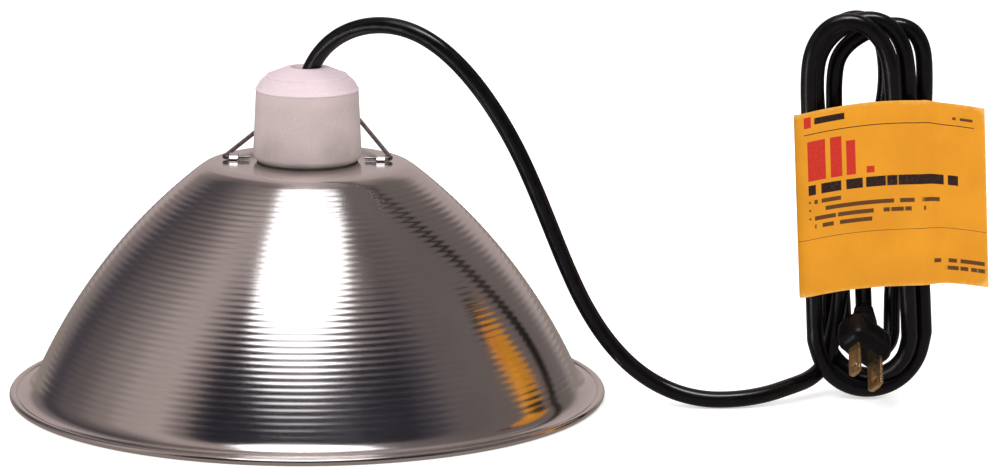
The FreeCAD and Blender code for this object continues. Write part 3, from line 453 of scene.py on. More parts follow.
class Effects:
    """Builds each shared effect once and places it in materials."""

    SOCKETS: dict[Effect, tuple[dict[str, tuple[str, object]], tuple[str, ...]]] = {
        Effect.MOTTLE: (
            {"Place": ("Vector", None), "Coarse": ("Float", 60.0), "Fine": ("Float", 900.0)},
            ("Clouds", "Specks", "Height")),
        Effect.SPIN_LINES: (
            {"Place": ("Vector", None), "Pitch": ("Float", 2500.0), "Arc": ("Float", 3.0)},
            ("Lines", "Height")),
        Effect.RUBBED_EDGES: (
            {"Place": ("Vector", None), "Threshold": ("Float", 0.52), "Breakup": ("Float", 400.0)},
            ("Mask",)),
        Effect.DUST: ({"Place": ("Vector", None), "Scale": ("Float", 120.0)}, ("Mask",)),
        Effect.PRINTED_BAR: (
            {"Place": ("Vector", None), "Left": ("Float", 0.0), "Right": ("Float", 0.02),
             "Low": ("Float", 0.0), "High": ("Float", 0.01), "Words": ("Float", 0.0)},
            ("Mask",)),
    }

    def __init__(self) -> None:
        """Start with no group built."""
        self.built: dict[Effect, bpy.types.NodeTree] = {}

    def place(self, graph: Graph, effect: Effect, inputs: dict) -> bpy.types.Node:
        """Put an effect in a material.

        Args:
            graph: the material's tree.
            effect: which effect.
            inputs: values or sockets for its named inputs.

        Returns:
            The group node.
        """
        if effect not in self.built:
            self.built[effect] = self.build(effect)
        return graph.add("ShaderNodeGroup", inputs, node_tree=self.built[effect])

    def build(self, effect: Effect) -> bpy.types.NodeTree:
        """Make an effect's group with its named sockets.

        Args:
            effect: which effect.

        Returns:
            The shader group.
        """
        tree = bpy.data.node_groups.new(effect.value, "ShaderNodeTree")
        given, results = self.SOCKETS[effect]
        for name, (kind, default) in given.items():
            socket = tree.interface.new_socket(name=name, in_out="INPUT", socket_type="NodeSocket" + kind)
            if default is not None:
                socket.default_value = default
        for name in results:
            tree.interface.new_socket(name=name, in_out="OUTPUT", socket_type="NodeSocketFloat")
        graph = Graph(tree)
        source = graph.add("NodeGroupInput").outputs
        sink = graph.add("NodeGroupOutput").inputs
        for name, value in getattr(self, "make_" + effect.value)(graph, source).items():
            graph.feed(sink[name], value)
        return tree

    @staticmethod
    def make_mottle(graph: Graph, source: bpy.types.NodeOutputs) -> dict:
        """Soft clouds and fine specks, as in fired clay, card and moulded plastic.

        Args:
            graph: the group's tree.
            source: the group's inputs.

        Returns:
            A socket for each of the group's outputs, by name.
        """
        cloud_height = 0.35
        clouds = graph.noise(source["Place"], source["Coarse"], detail=4.0)
        specks = graph.noise(source["Place"], source["Fine"], detail=2.0, rough=0.7)
        height = graph.math("ADD", graph.math("MULTIPLY", clouds, cloud_height), specks)
        return {"Clouds": graph.between(clouds, 0.3, 0.7), "Specks": graph.between(specks, 0.35, 0.65),
                "Height": height}

    @staticmethod
    def make_spin_lines(graph: Graph, source: bpy.types.NodeOutputs) -> dict:
        """Fine lines round the lamp axis, left by the spinning tool.

        Args:
            graph: the group's tree.
            source: the group's inputs.

        Returns:
            A socket for each of the group's outputs, by name.
        """
        parts = graph.add("ShaderNodeSeparateXYZ", {0: source["Place"]}).outputs
        flat = graph.add("ShaderNodeCombineXYZ", {"X": parts["X"], "Y": parts["Y"]}).outputs[0]
        radius = graph.add("ShaderNodeVectorMath", {0: flat}, operation="LENGTH").outputs["Value"]
        turn = graph.math("ARCTAN2", parts["X"], graph.math("MULTIPLY", parts["Y"], -1.0))
        across = graph.math("SUBTRACT", radius, parts["Z"])
        spot = graph.add("ShaderNodeCombineXYZ", {
            "X": graph.math("MULTIPLY", across, source["Pitch"]),
            "Y": graph.math("MULTIPLY", turn, source["Arc"])}).outputs[0]
        lines = graph.noise(spot, 1.0, 3.0, 0.65)
        return {"Lines": graph.between(lines, 0.3, 0.7), "Height": lines}

    @staticmethod
    def make_rubbed_edges(graph: Graph, source: bpy.types.NodeOutputs) -> dict:
        """Edges that handling has rubbed bright, broken up by noise.

        Args:
            graph: the group's tree.
            source: the group's inputs.

        Returns:
            A socket for each of the group's outputs, by name.
        """
        spread = 0.06
        edge = graph.add("ShaderNodeNewGeometry").outputs["Pointiness"]
        breakup = graph.noise(source["Place"], source["Breakup"], detail=2.0)
        uneven = graph.math("MULTIPLY", graph.math("SUBTRACT", breakup, 0.5), spread)
        raised = graph.math("ADD", edge, uneven)
        top = graph.math("ADD", source["Threshold"], spread)
        return {"Mask": graph.between(raised, source["Threshold"], top)}

    @staticmethod
    def make_dust(graph: Graph, source: bpy.types.NodeOutputs) -> dict:
        """Thin dust on faces that look up.

        Args:
            graph: the group's tree.
            source: the group's inputs.

        Returns:
            A socket for each of the group's outputs, by name.
        """
        normal = graph.add("ShaderNodeNewGeometry").outputs["Normal"]
        up = graph.add("ShaderNodeSeparateXYZ", {0: normal}).outputs["Z"]
        clouds = graph.noise(source["Place"], source["Scale"], detail=4.0)
        lying = graph.between(up, 0.3, 1.0)
        return {"Mask": graph.math("MULTIPLY", lying, graph.between(clouds, 0.4, 0.75))}

    @staticmethod
    def make_printed_bar(graph: Graph, source: bpy.types.NodeOutputs) -> dict:
        """A printed bar on card, solid or broken into dashes of uneven length.

        Args:
            graph: the group's tree.
            source: the group's inputs.

        Returns:
            A socket for each of the group's outputs, by name.
        """
        soft = 0.12 * MM
        dash_rate, row_rate = 260.0, 4000.0
        parts = graph.add("ShaderNodeSeparateXYZ", {0: source["Place"]}).outputs
        sides = []
        for axis, low, high in (("X", "Left", "Right"), ("Y", "Low", "High")):
            rising = graph.between(parts[axis], source[low], graph.math("ADD", source[low], soft))
            inner = graph.math("SUBTRACT", source[high], soft)
            falling = graph.between(parts[axis], inner, source[high], 1.0, 0.0)
            sides.append(graph.math("MULTIPLY", rising, falling))
        inside = graph.math("MULTIPLY", *sides)
        row = graph.add("ShaderNodeCombineXYZ", {
            "X": graph.math("MULTIPLY", parts["X"], dash_rate),
            "Y": graph.math("MULTIPLY", source["Low"], row_rate)}).outputs[0]
        dashes = graph.between(graph.noise(row, 1.0, detail=0.0), 0.40, 0.43)
        gaps = graph.math("MULTIPLY", source["Words"], graph.math("SUBTRACT", 1.0, dashes))
        broken = graph.math("SUBTRACT", 1.0, gaps)
        return {"Mask": graph.math("MULTIPLY", inside, broken)}


EFFECTS = Effects()


class Finish:
    """A finish: makes its material once and dresses pieces in it."""

    name = "finish"
    slot = ""

    def __init__(self) -> None:
        """Start with the material not made."""
        self.material: bpy.types.Material | None = None

    def dress(self, piece: bpy.types.Object) -> None:
        """Give a piece this finish.

        Args:
            piece: the finished mesh or curve.
        """
        if self.material is None:
            self.material = self.make()
        piece.data.materials.clear()
        piece.data.materials.append(self.material)
        LOG.info("%s is dressed in %s", piece.name, self.name)

    def make(self) -> bpy.types.Material:
        """Make the material: a Principled shader with this finish's own nodes.

        Returns:
            The material.
        """
        material = bpy.data.materials.new(self.name)
        material.use_nodes = True
        material.node_tree.nodes.clear()
        graph = Graph(material.node_tree)
        shader = graph.add("ShaderNodeBsdfPrincipled")
        sink = graph.add("ShaderNodeOutputMaterial")
        graph.feed(sink.inputs["Surface"], shader.outputs["BSDF"])
        self.paint(graph, shader.inputs)
        return material

    def paint(self, graph: Graph, shader: bpy.types.NodeInputs) -> None:
        """Set the shader's sockets; each finish has its own way."""
        raise NotImplementedError

    @staticmethod
    def mottle(graph: Graph, place: object, coarse: float, fine: float) -> bpy.types.NodeOutputs:
        """Outputs of the mottle effect in this material."""
        return EFFECTS.place(graph, Effect.MOTTLE, {"Place": place, "Coarse": coarse, "Fine": fine}).outputs

    @staticmethod
    def rubbed(graph: Graph, place: object, threshold: float) -> bpy.types.NodeSocket:
        """Mask of the rubbed edges in this material."""
        given = {"Place": place, "Threshold": threshold}
        return EFFECTS.place(graph, Effect.RUBBED_EDGES, given).outputs["Mask"]

    @staticmethod
    def dust(graph: Graph, place: object, scale: float) -> bpy.types.NodeSocket:
        """Mask of the dust in this material."""
        return EFFECTS.place(graph, Effect.DUST, {"Place": place, "Scale": scale}).outputs["Mask"]

    @staticmethod
    def toned(graph: Graph, base: float, *parts: tuple[object, float]) -> bpy.types.NodeSocket:
        """A value made of a base and masks, each by its weight.

        Args:
            graph: the material's tree.
            base: the value where every mask is 0.
            parts: (mask, weight) pairs.

        Returns:
            The value.
        """
        weighed = [graph.math("MULTIPLY", mask, weight) for mask, weight in parts]
        total = weighed[0]
        for part in weighed[1:]:
            total = graph.math("ADD", total, part)
        return graph.math("ADD", total, base)


@dataclass(frozen=True)
class Look:
    """What every look has: its finish's name, its slot in the record and its main colour."""

    name: str
    slot: str
    base: Colour


class LookFinish(Finish):
    """A finish whose colours and wear come from a look."""

    def __init__(self, look: Look) -> None:
        """Keep the look and name the finish for it.

        Args:
            look: the look.
        """
        super().__init__()
        self.look = look
        self.name = look.name
        self.slot = look.slot


class SpunAluminium(Finish):
    """Bright spun aluminium: fine lines round the axis, soft stains and shallow dents."""

    name = "spun aluminium"
    slot = "spun_aluminium"
    GREY = (0.80, 0.765, 0.73, 1)
    PALE = (0.87, 0.845, 0.815, 1)
    STAIN = (0.66, 0.62, 0.58, 1)
    BRIGHT = (0.92, 0.90, 0.88, 1)
    PITCH = 5200.0
    ARC = 5.0

    def paint(self, graph: Graph, shader: bpy.types.NodeInputs) -> None:
        """Warm metal, drawn out round the axis.

        Args:
            graph: the material's tree.
            shader: inputs of its Principled shader.
        """
        place = graph.place()
        given = {"Place": place, "Pitch": self.PITCH, "Arc": self.ARC}
        lines = EFFECTS.place(graph, Effect.SPIN_LINES, given).outputs
        clouds = self.mottle(graph, place, 22.0, 1400.0)
        rubbed = self.rubbed(graph, place, 0.56)
        warm = graph.mix(clouds["Clouds"], self.GREY, self.PALE)
        stained = graph.mix(graph.math("MULTIPLY", lines["Lines"], 0.22), warm, self.STAIN)
        graph.feed(shader["Base Color"], graph.mix(rubbed, stained, self.BRIGHT))
        rough = self.toned(graph, 0.10, (clouds["Clouds"], 0.05), (lines["Lines"], 0.06))
        graph.feed(shader["Roughness"], rough)
        shader["Metallic"].default_value = 1.0
        shader["Anisotropic"].default_value = 0.6
        shader["Anisotropic Rotation"].default_value = 0.25
        tangent = graph.add("ShaderNodeTangent", direction_type="RADIAL", axis="Z")
        graph.feed(shader["Tangent"], tangent.outputs[0])
        dents = graph.bump(graph.noise(place, 26.0, 2.0), 0.12, 0.0012)
        grain = graph.bump(clouds["Specks"], 0.05, 0.00004, dents)
        graph.feed(shader["Normal"], graph.bump(lines["Height"], 0.12, 0.00006, grain))


@dataclass(frozen=True)
class MetalLook(Look):
    """How a plain metal finish looks."""

    tarnish: Colour
    bright: Colour
    rough: float


class PlainMetal(LookFinish):
    """A cast, drawn or stamped metal with tarnish, fine scratches and bright edges."""

    def paint(self, graph: Graph, shader: bpy.types.NodeInputs) -> None:
        """Metal between its base and tarnish colours, brighter along its edges.

        Args:
            graph: the material's tree.
            shader: inputs of its Principled shader.
        """
        look = self.look
        place = graph.place()
        clouds = self.mottle(graph, place, 260.0, 3200.0)
        rubbed = self.rubbed(graph, place, 0.55)
        body = graph.mix(clouds["Clouds"], look.base, look.tarnish)
        graph.feed(shader["Base Color"], graph.mix(rubbed, body, look.bright))
        rough = self.toned(graph, look.rough, (clouds["Clouds"], 0.14), (rubbed, -0.08))
        graph.feed(shader["Roughness"], rough)
        shader["Metallic"].default_value = 1.0
        graph.feed(shader["Normal"], graph.bump(clouds["Height"], 0.15, 0.00003))


@dataclass(frozen=True)
class ClayLook(Look):
    """How a fired clay piece looks."""

    cloud: Colour
    speck: Colour
    rough: float
    glaze: float
    # spots where dark reflections are painted on the glaze, in metres
    painted_reflections: tuple[Triple, ...] = ()


class FiredClay(LookFinish):
    """Porcelain with a thin dull glaze: soft clouds, pores, edges paled by handling and painted dark
    reflections.
    """

    # darkening and reach of the painted dark reflections on the glaze
    REFLECTION_DARKENING = 0.66
    RUBBED = 1.12
    PAINTED_REFLECTION_REACH = (12 * MM, 2 * MM)

    def paint(self, graph: Graph, shader: bpy.types.NodeInputs) -> None:
        """Clay between two near colours, with darker pores, paler edges and soft painted dark reflections at
        given spots.

        Args:
            graph: the material's tree.
            shader: inputs of its Principled shader.
        """
        look = self.look
        place = graph.place()
        clouds = self.mottle(graph, place, 48.0, 1700.0)
        rubbed = self.rubbed(graph, place, 0.515)
        body = graph.mix(clouds["Clouds"], look.base, look.cloud)
        pores = graph.math("MULTIPLY", graph.between(clouds["Specks"], 0.5, 0.0), 0.4)
        body = graph.mix(pores, body, look.speck)
        dark = tuple(part * self.REFLECTION_DARKENING for part in look.base[:3]) + (1.0,)
        # painted dark reflections: the clay is darkened in soft spots, broken by noise, round each given spot
        for spot in look.painted_reflections:
            away = graph.add("ShaderNodeVectorMath", {0: place, 1: spot}, operation="DISTANCE").outputs
            near = graph.between(away["Value"], *self.PAINTED_REFLECTION_REACH)
            reflection_share = graph.math("MULTIPLY", near, graph.noise(place, 150.0))
            body = graph.mix(graph.math("MULTIPLY", reflection_share, 0.9), body, dark)
        pale = tuple(min(1.0, part * self.RUBBED) for part in look.base[:3]) + (1.0,)
        graph.feed(shader["Base Color"], graph.mix(graph.math("MULTIPLY", rubbed, 0.7), body, pale))
        graph.feed(shader["Roughness"], self.toned(graph, look.rough, (clouds["Specks"], 0.14)))
        shader["Subsurface Weight"].default_value = 0.06
        shader["Subsurface Radius"].default_value = (0.002, 0.0015, 0.0012)
        shader["Coat Weight"].default_value = look.glaze
        shader["Coat Roughness"].default_value = 0.34
        uneven = graph.bump(graph.noise(place, 130.0, 2.0), 0.22, 0.0003)
        graph.feed(shader["Normal"], graph.bump(clouds["Height"], 0.5, 0.0001, uneven))


@dataclass(frozen=True)
class PlasticLook(Look):
    """How a plastic, fibre or board piece looks."""

    cloud: Colour
    rough: float
    grain: float = 0.03 * MM
    gloss: float = 0.5


class Plastic(LookFinish):
    """Moulded plastic, fibre or board with a fine grain and thin dust."""

    def paint(self, graph: Graph, shader: bpy.types.NodeInputs) -> None:
        """Plastic between two near colours, duller where dust lies.

        Args:
            graph: the material's tree.
            shader: inputs of its Principled shader.
        """
        look = self.look
        place = graph.place()
        clouds = self.mottle(graph, place, 90.0, 2600.0)
        dust = self.dust(graph, place, 140.0)
        body = graph.mix(clouds["Clouds"], look.base, look.cloud)
        grey = tuple(part * 0.7 + 0.05 for part in look.cloud[:3]) + (1.0,)
        graph.feed(shader["Base Color"], graph.mix(graph.math("MULTIPLY", dust, 0.06), body, grey))
        graph.feed(shader["Roughness"], self.toned(graph, look.rough, (clouds["Specks"], 0.08), (dust, 0.10)))
        shader["Specular IOR Level"].default_value = look.gloss
        graph.feed(shader["Normal"], graph.bump(clouds["Height"], 0.3, look.grain))


class JacketVinyl(Finish):
    """Black jacket of the lead: glossy, with faint lay marks along it."""

    name = "black lead jacket"
    slot = "cord_jacket"
    BLACK = (0.0022, 0.0021, 0.0028, 1)
    WORN_BLACK = (0.0045, 0.0043, 0.0055, 1)
    DUSTY = (0.06, 0.055, 0.055, 1)
    LAY_MARKS = (260.0, 9.0, 1.0)

    def paint(self, graph: Graph, shader: bpy.types.NodeInputs) -> None:
        """Black vinyl with marks that follow the lead's own length.

        Args:
            graph: the material's tree.
            shader: inputs of its Principled shader.
        """
        along = graph.add("ShaderNodeTexCoord").outputs["UV"]
        place = graph.place()
        marks = graph.noise(graph.scaled(along, self.LAY_MARKS), 1.0, detail=2.0)
        clouds = self.mottle(graph, place, 120.0, 2200.0)
        dust = self.dust(graph, place, 90.0)
        body = graph.mix(clouds["Clouds"], self.BLACK, self.WORN_BLACK)
        graph.feed(shader["Base Color"], graph.mix(graph.math("MULTIPLY", dust, 0.03), body, self.DUSTY))
        lines = graph.between(marks, 0.3, 0.7)
        graph.feed(shader["Roughness"], self.toned(graph, 0.13, (lines, 0.10), (clouds["Specks"], 0.05)))
        shader["Specular IOR Level"].default_value = 0.3
        lay = graph.bump(marks, 0.10, 0.00008)
        graph.feed(shader["Normal"], graph.bump(clouds["Height"], 0.2, 0.00002, lay))


@dataclass(frozen=True)
class Bar:
    """One plain printed bar on the card, in millimetres from the card's lower left corner."""

    left: float
    right: float
    low: float
    high: float
    ink: Colour
    broken: bool = False


class PrintedCard(Finish):
    """Orange card printed with plain bars, with fibre, a crease and rubbed edges."""

    name = "printed orange card"
    slot = "sleeve_card"
    ORANGE = (0.735, 0.285, 0.009, 1)
    PALE_ORANGE = (0.80, 0.325, 0.012, 1)
    DEEP_ORANGE = (0.62, 0.22, 0.012, 1)
    RUBBED = (0.93, 0.62, 0.22, 1)
    RED = (0.58, 0.022, 0.012, 1)
    DARK = (0.022, 0.010, 0.012, 1)
    BROWN = (0.12, 0.045, 0.012, 1)
    BARS = (
        Bar(4.0, 7.2, 75.5, 80.5, RED), Bar(8.6, 22.0, 76.6, 79.6, DARK),
        Bar(4.0, 79.5, 72.4, 72.9, DARK), Bar(70.0, 79.0, 75.2, 76.6, BROWN, True),
        Bar(5.2, 13.2, 51.5, 69.5, RED), Bar(15.2, 20.4, 51.5, 69.5, RED),
        Bar(22.2, 26.4, 51.5, 67.0, RED), Bar(31.0, 34.6, 51.5, 54.6, RED),
        Bar(5.2, 72.0, 45.2, 49.8, DARK, True),
        Bar(5.2, 6.2, 41.6, 42.6, BROWN), Bar(7.6, 19.5, 41.0, 43.0, BROWN, True),
        Bar(5.2, 6.2, 38.0, 39.0, BROWN), Bar(7.6, 63.5, 37.4, 39.4, BROWN, True),
        Bar(5.2, 6.2, 34.2, 35.2, BROWN), Bar(7.6, 57.0, 33.6, 35.6, BROWN, True),
        Bar(7.6, 33.0, 30.0, 32.0, BROWN, True),
        Bar(0.3, 84.1, 25.2, 25.55, BROWN), Bar(58.8, 83.0, 9.6, 11.6, BROWN, True),
        Bar(63.0, 83.0, 6.2, 8.2, BROWN, True),
    )

    def paint(self, graph: Graph, shader: bpy.types.NodeInputs) -> None:
        """Card colour under its print, paler where it is rubbed.

        Args:
            graph: the material's tree.
            shader: inputs of its Principled shader.
        """
        flat = graph.add("ShaderNodeTexCoord").outputs["UV"]
        place = graph.place()
        clouds = self.mottle(graph, place, 40.0, 1500.0)
        rubbed = self.rubbed(graph, place, 0.56)
        colour = graph.mix(clouds["Clouds"], self.ORANGE, self.PALE_ORANGE)
        colour = graph.mix(graph.math("MULTIPLY", clouds["Specks"], 0.16), colour, self.DEEP_ORANGE)
        worn = graph.between(clouds["Specks"], 0.0, 0.4, 0.93, 1.0)
        for bar in self.BARS:
            mask = EFFECTS.place(graph, Effect.PRINTED_BAR, {
                "Place": flat, "Left": bar.left * MM, "Right": bar.right * MM, "Low": bar.low * MM,
                "High": bar.high * MM, "Words": float(bar.broken)}).outputs["Mask"]
            colour = graph.mix(graph.math("MULTIPLY", mask, worn), colour, bar.ink)
        colour = graph.mix(graph.math("MULTIPLY", rubbed, 0.5), colour, self.RUBBED)
        graph.feed(shader["Base Color"], colour)
        graph.feed(shader["Roughness"], self.toned(graph, 0.44, (clouds["Specks"], 0.12)))
        shader["Specular IOR Level"].default_value = 0.3
        graph.feed(shader["Normal"], graph.bump(clouds["Height"], 0.25, 0.00004))


ALUMINIUM = SpunAluminium()
HANGER_STEEL = PlainMetal(MetalLook("drawn hanger steel", "hanger_steel", (0.34, 0.31, 0.29, 1),
                                    (0.20, 0.175, 0.16, 1), (0.62, 0.60, 0.58, 1), 0.30))
PORCELAIN = FiredClay(ClayLook("buff porcelain", "porcelain", (0.545, 0.445, 0.44, 1), (0.61, 0.505, 0.49, 1),
                               (0.42, 0.34, 0.33, 1), 0.50, 0.05,
                               # the two spots where dark reflections are painted low on the body's front
                               ((-0.0150, -0.0187, 0.1120), (0.0142, -0.0193, 0.1140))))
CAP_PORCELAIN = FiredClay(ClayLook("pale cap porcelain", "cap_porcelain", (0.76, 0.605, 0.655, 1),
                                   (0.82, 0.67, 0.71, 1), (0.62, 0.49, 0.52, 1), 0.46, 0.07))
RING_PORCELAIN = FiredClay(ClayLook("ring porcelain", "ring_porcelain", (0.62, 0.54, 0.50, 1),
                                    (0.70, 0.62, 0.58, 1), (0.42, 0.35, 0.32, 1), 0.42, 0.10))
# a real fibre gasket, coloured near-black so that it also paints the shaded gap under the lampholder
GASKET_AND_PAINTED_GAP_SHADE = Plastic(PlasticLook("gasket fibre with painted gap shade", "gasket_fibre", (0.035, 0.030, 0.028, 1),
                                   (0.060, 0.052, 0.048, 1), 0.80, 0.00008))
DISC_BOARD = Plastic(PlasticLook("insulating board", "disc_board", (0.30, 0.215, 0.150, 1),
                                 (0.38, 0.280, 0.200, 1), 0.70, 0.00006))
CLAMP_BOARD = Plastic(PlasticLook("clamp board", "clamp_board", (0.085, 0.055, 0.040, 1),
                                  (0.120, 0.080, 0.058, 1), 0.62, 0.00006))
CORE_DARK = Plastic(PlasticLook("black core", "core_dark", (0.012, 0.012, 0.013, 1),
                                (0.020, 0.020, 0.021, 1), 0.42))
CORE_PALE = Plastic(PlasticLook("white core", "core_pale", (0.68, 0.665, 0.63, 1),
                                (0.75, 0.74, 0.71, 1), 0.44))
PLUG_VINYL = Plastic(PlasticLook("moulded plug vinyl", "plug_vinyl", JacketVinyl.BLACK,
                                 JacketVinyl.WORN_BLACK, 0.26, gloss=0.12))
SHELL_BRASS = PlainMetal(MetalLook("shell brass", "shell_brass", (0.80, 0.60, 0.27, 1),
                                   (0.60, 0.42, 0.17, 1), (0.92, 0.76, 0.45, 1), 0.24))
SPRING_BRASS = PlainMetal(MetalLook("spring brass", "spring_brass", (0.74, 0.52, 0.22, 1),
                                    (0.58, 0.38, 0.15, 1), (0.90, 0.72, 0.42, 1), 0.26))
CONTACT_BRASS = PlainMetal(MetalLook("contact brass", "contact_brass", (0.84, 0.66, 0.34, 1),
                                     (0.66, 0.48, 0.22, 1), (0.94, 0.82, 0.56, 1), 0.22))
RIVET_BRASS = PlainMetal(MetalLook("rivet brass", "rivet_brass", (0.70, 0.50, 0.22, 1), (0.52, 0.35, 0.14, 1),
                                   (0.88, 0.72, 0.44, 1), 0.28))
TERMINAL_PLATED = PlainMetal(MetalLook("plated terminal", "terminal_plated", (0.66, 0.65, 0.62, 1),
                                       (0.48, 0.46, 0.43, 1), (0.85, 0.84, 0.82, 1), 0.28))
TERMINAL_BRASS = PlainMetal(MetalLook("brass terminal", "terminal_brass", (0.76, 0.56, 0.24, 1),
                                      (0.58, 0.40, 0.16, 1), (0.90, 0.74, 0.44, 1), 0.28))
SCREW_PLATED = PlainMetal(MetalLook("plated screws", "screw_plated", (0.60, 0.58, 0.55, 1),
                                    (0.42, 0.40, 0.37, 1), (0.82, 0.81, 0.79, 1), 0.26))
STAPLE_STEEL = PlainMetal(MetalLook("staple steel", "staple_steel", (0.58, 0.58, 0.58, 1),
                                    (0.42, 0.42, 0.42, 1), (0.80, 0.80, 0.80, 1), 0.26))
BLADE_BRASS = PlainMetal(MetalLook("blade brass", "blade_brass", (0.88, 0.57, 0.25, 1),
                                   (0.64, 0.37, 0.15, 1), (0.96, 0.78, 0.48, 1), 0.27))
JACKET = JacketVinyl()
CARD = PrintedCard()


# ------------------------------------------------------------------ the studio
@dataclass(frozen=True)
class Lamp:
    """A soft lamp: its place and size in metres, its power in watts, and its outline."""

    name: str
    spot: Triple
    size: Pair
    power: float
    shape: str = "DISK"


@dataclass
class Studio:
    """Camera, floor, lamps, world and the light tent that polished metal mirrors.

    The tent's greys are (bearing, grey) pairs, with the front at 0 degrees and the lead's side at 90.
    The darkest have the cool tint, and those from warm_from up have the warm one.
    """

    camera_spot: Triple = (0.10962, -1.84238, 0.44893)
    camera_dip: float = 11.566
    camera_pan: float = 0.739
    camera_roll: float = 0.396
    lens: float = 151.83
    floor_half: float = 6.0
    tent_radius: float = 4.0
    floor_colour: Colour = (0.93, 0.925, 0.92, 1)
    floor_lift: float = 0.42
    skirt_height: float = 0.05 * MM
    skirt_grey: Colour = (0.27, 0.225, 0.205, 1)
    panel_white: Colour = (2.2, 2.15, 2.25, 1)
    fill: float = 0.62
    walls: tuple[Pair, ...] = (
        (-180, 0.44), (-158, 0.40), (-149, 0.20), (-132, 0.060), (-114, 0.11), (-94, 0.22),
        (-80, 0.35), (-66, 0.385), (-54, 0.19), (-46, 0.042), (-38, 0.022), (-25, 0.028),
        (0, 0.04), (20, 0.05), (30, 0.028), (50, 0.022), (62, 0.055), (72, 0.110), (92, 0.125),
        (120, 0.125), (143, 0.13), (157, 0.38), (180, 0.44))
    roof: tuple[Pair, ...] = (
        (-180, 0.45), (-156, 0.42), (-138, 0.14), (-120, 0.13), (-100, 0.25), (-85, 0.39),
        (-65, 0.30), (-40, 0.24), (0, 0.26), (40, 0.24), (56, 0.175), (73, 0.105), (95, 0.13),
        (128, 0.13), (150, 0.30), (180, 0.45))
    cool: Triple = (0.98, 0.95, 1.38)
    warm: Triple = (1.12, 0.93, 0.92)
    warm_from: float = 0.12
    lamp_target: Triple = (0.08, 0.0, 0.06)
    lamps: tuple[Lamp, ...] = (
        Lamp("key_lamp", (-0.7, -1.5, 1.7), (1.2, 1.2), 24.0),
        Lamp("side_lamp", (1.7, -0.5, 1.1), (1.2, 1.2), 11.0),
        Lamp("back_lamp", (-0.4, 1.8, 1.5), (1.4, 1.4), 12.0))
    sheen_target: Triple = (0.2, 0.0, 0.08)
    sheens: tuple[Lamp, ...] = (
        Lamp("left_sheen", (-1.6, -1.7, -0.42), (0.45, 0.9), 34.0, "RECTANGLE"),
        Lamp("top_sheen", (0.5, -0.7, 1.9), (0.9, 0.4), 22.0, "RECTANGLE"))

    def build(self) -> None:
        """Make the whole studio."""
        self.add_camera()
        self.add_world()
        self.add_floor()
        self.add_tent()
        self.add_skirt()
        self.add_lamps()

    def add_camera(self) -> None:
        """The one camera, which looks slightly down."""
        data = bpy.data.cameras.new("camera")
        data.lens = self.lens
        data.sensor_width = 36.0
        data.clip_end = 50.0
        camera = bpy.data.objects.new("camera", data)
        camera.location = self.camera_spot
        turn = Matrix.Rotation(math.radians(self.camera_pan), 4, "Z")
        turn = turn @ Matrix.Rotation(math.radians(90 - self.camera_dip), 4, "X")
        roll = Matrix.Rotation(math.radians(self.camera_roll), 4, "Z")
        camera.rotation_euler = (turn @ roll).to_euler()
        bpy.context.scene.collection.objects.link(camera)
        bpy.context.scene.camera = camera

    def add_world(self) -> None:
        """A white background with a softer fill for matt faces."""
        scene = bpy.context.scene
        scene.view_settings.view_transform = "Standard"
        world = bpy.data.worlds.new("studio")
        world.use_nodes = True
        scene.world = world
        graph = Graph(world.node_tree)
        path = graph.add("ShaderNodeLightPath").outputs
        seen = graph.math("MAXIMUM", path["Is Camera Ray"],
                          graph.math("MAXIMUM", path["Is Glossy Ray"], path["Is Transmission Ray"]))
        back = world.node_tree.nodes["Background"]
        graph.feed(back.inputs["Color"], (1, 1, 1, 1))
        graph.feed(back.inputs["Strength"], graph.between(seen, 0.0, 1.0, self.fill, 1.0))

    def add_floor(self) -> None:
        """A plain pale floor that fills the view and keeps the fixture's shadow."""
        Bench.clear()
        bpy.ops.mesh.primitive_plane_add(size=2 * self.floor_half)
        floor = Bench.named("studio_floor")
        material = bpy.data.materials.new("pale floor")
        material.use_nodes = True
        graph = Graph(material.node_tree)
        shader = material.node_tree.nodes["Principled BSDF"].inputs
        graph.feed(shader["Base Color"], self.floor_colour)
        shader["Roughness"].default_value = 0.9
        shader["Specular IOR Level"].default_value = 0.1
        seen = graph.add("ShaderNodeLightPath").outputs["Is Camera Ray"]
        shader["Emission Color"].default_value = (1, 1, 1, 1)
        graph.feed(shader["Emission Strength"], graph.math("MULTIPLY", seen, self.floor_lift))
        floor.data.materials.append(material)

    def add_tent(self) -> None:
        """Soft panels round the fixture, which only polished faces mirror."""
        Bench.clear()
        bpy.ops.mesh.primitive_uv_sphere_add(segments=64, ring_count=32, radius=self.tent_radius)
        tent = Bench.named("studio_tent")
        self.hide_but_mirrored(tent)
        tent.data.materials.append(self.glow("light tent", self.tent_colour))

    @staticmethod
    def hide_but_mirrored(stage: bpy.types.Object) -> None:
        """Let a stage piece be seen in polished faces alone."""
        for sight in ("camera", "diffuse", "transmission", "volume_scatter", "shadow"):
            setattr(stage, "visible_" + sight, False)

    @staticmethod
    def glow(name: str, colour: Callable[[Graph], object]) -> bpy.types.Material:
        """A plain glowing material for a stage piece.

        Args:
            name: name of the material.
            colour: gives the glow's colour, in the material's tree.

        Returns:
            The material.
        """
        material = bpy.data.materials.new(name)
        material.use_nodes = True
        material.node_tree.nodes.clear()
        material.cycles.emission_sampling = "NONE"
        graph = Graph(material.node_tree)
        light = graph.add("ShaderNodeEmission", {"Color": colour(graph), "Strength": 1.0})
        sink = graph.add("ShaderNodeOutputMaterial")
        graph.feed(sink.inputs["Surface"], light.outputs[0])
        return material

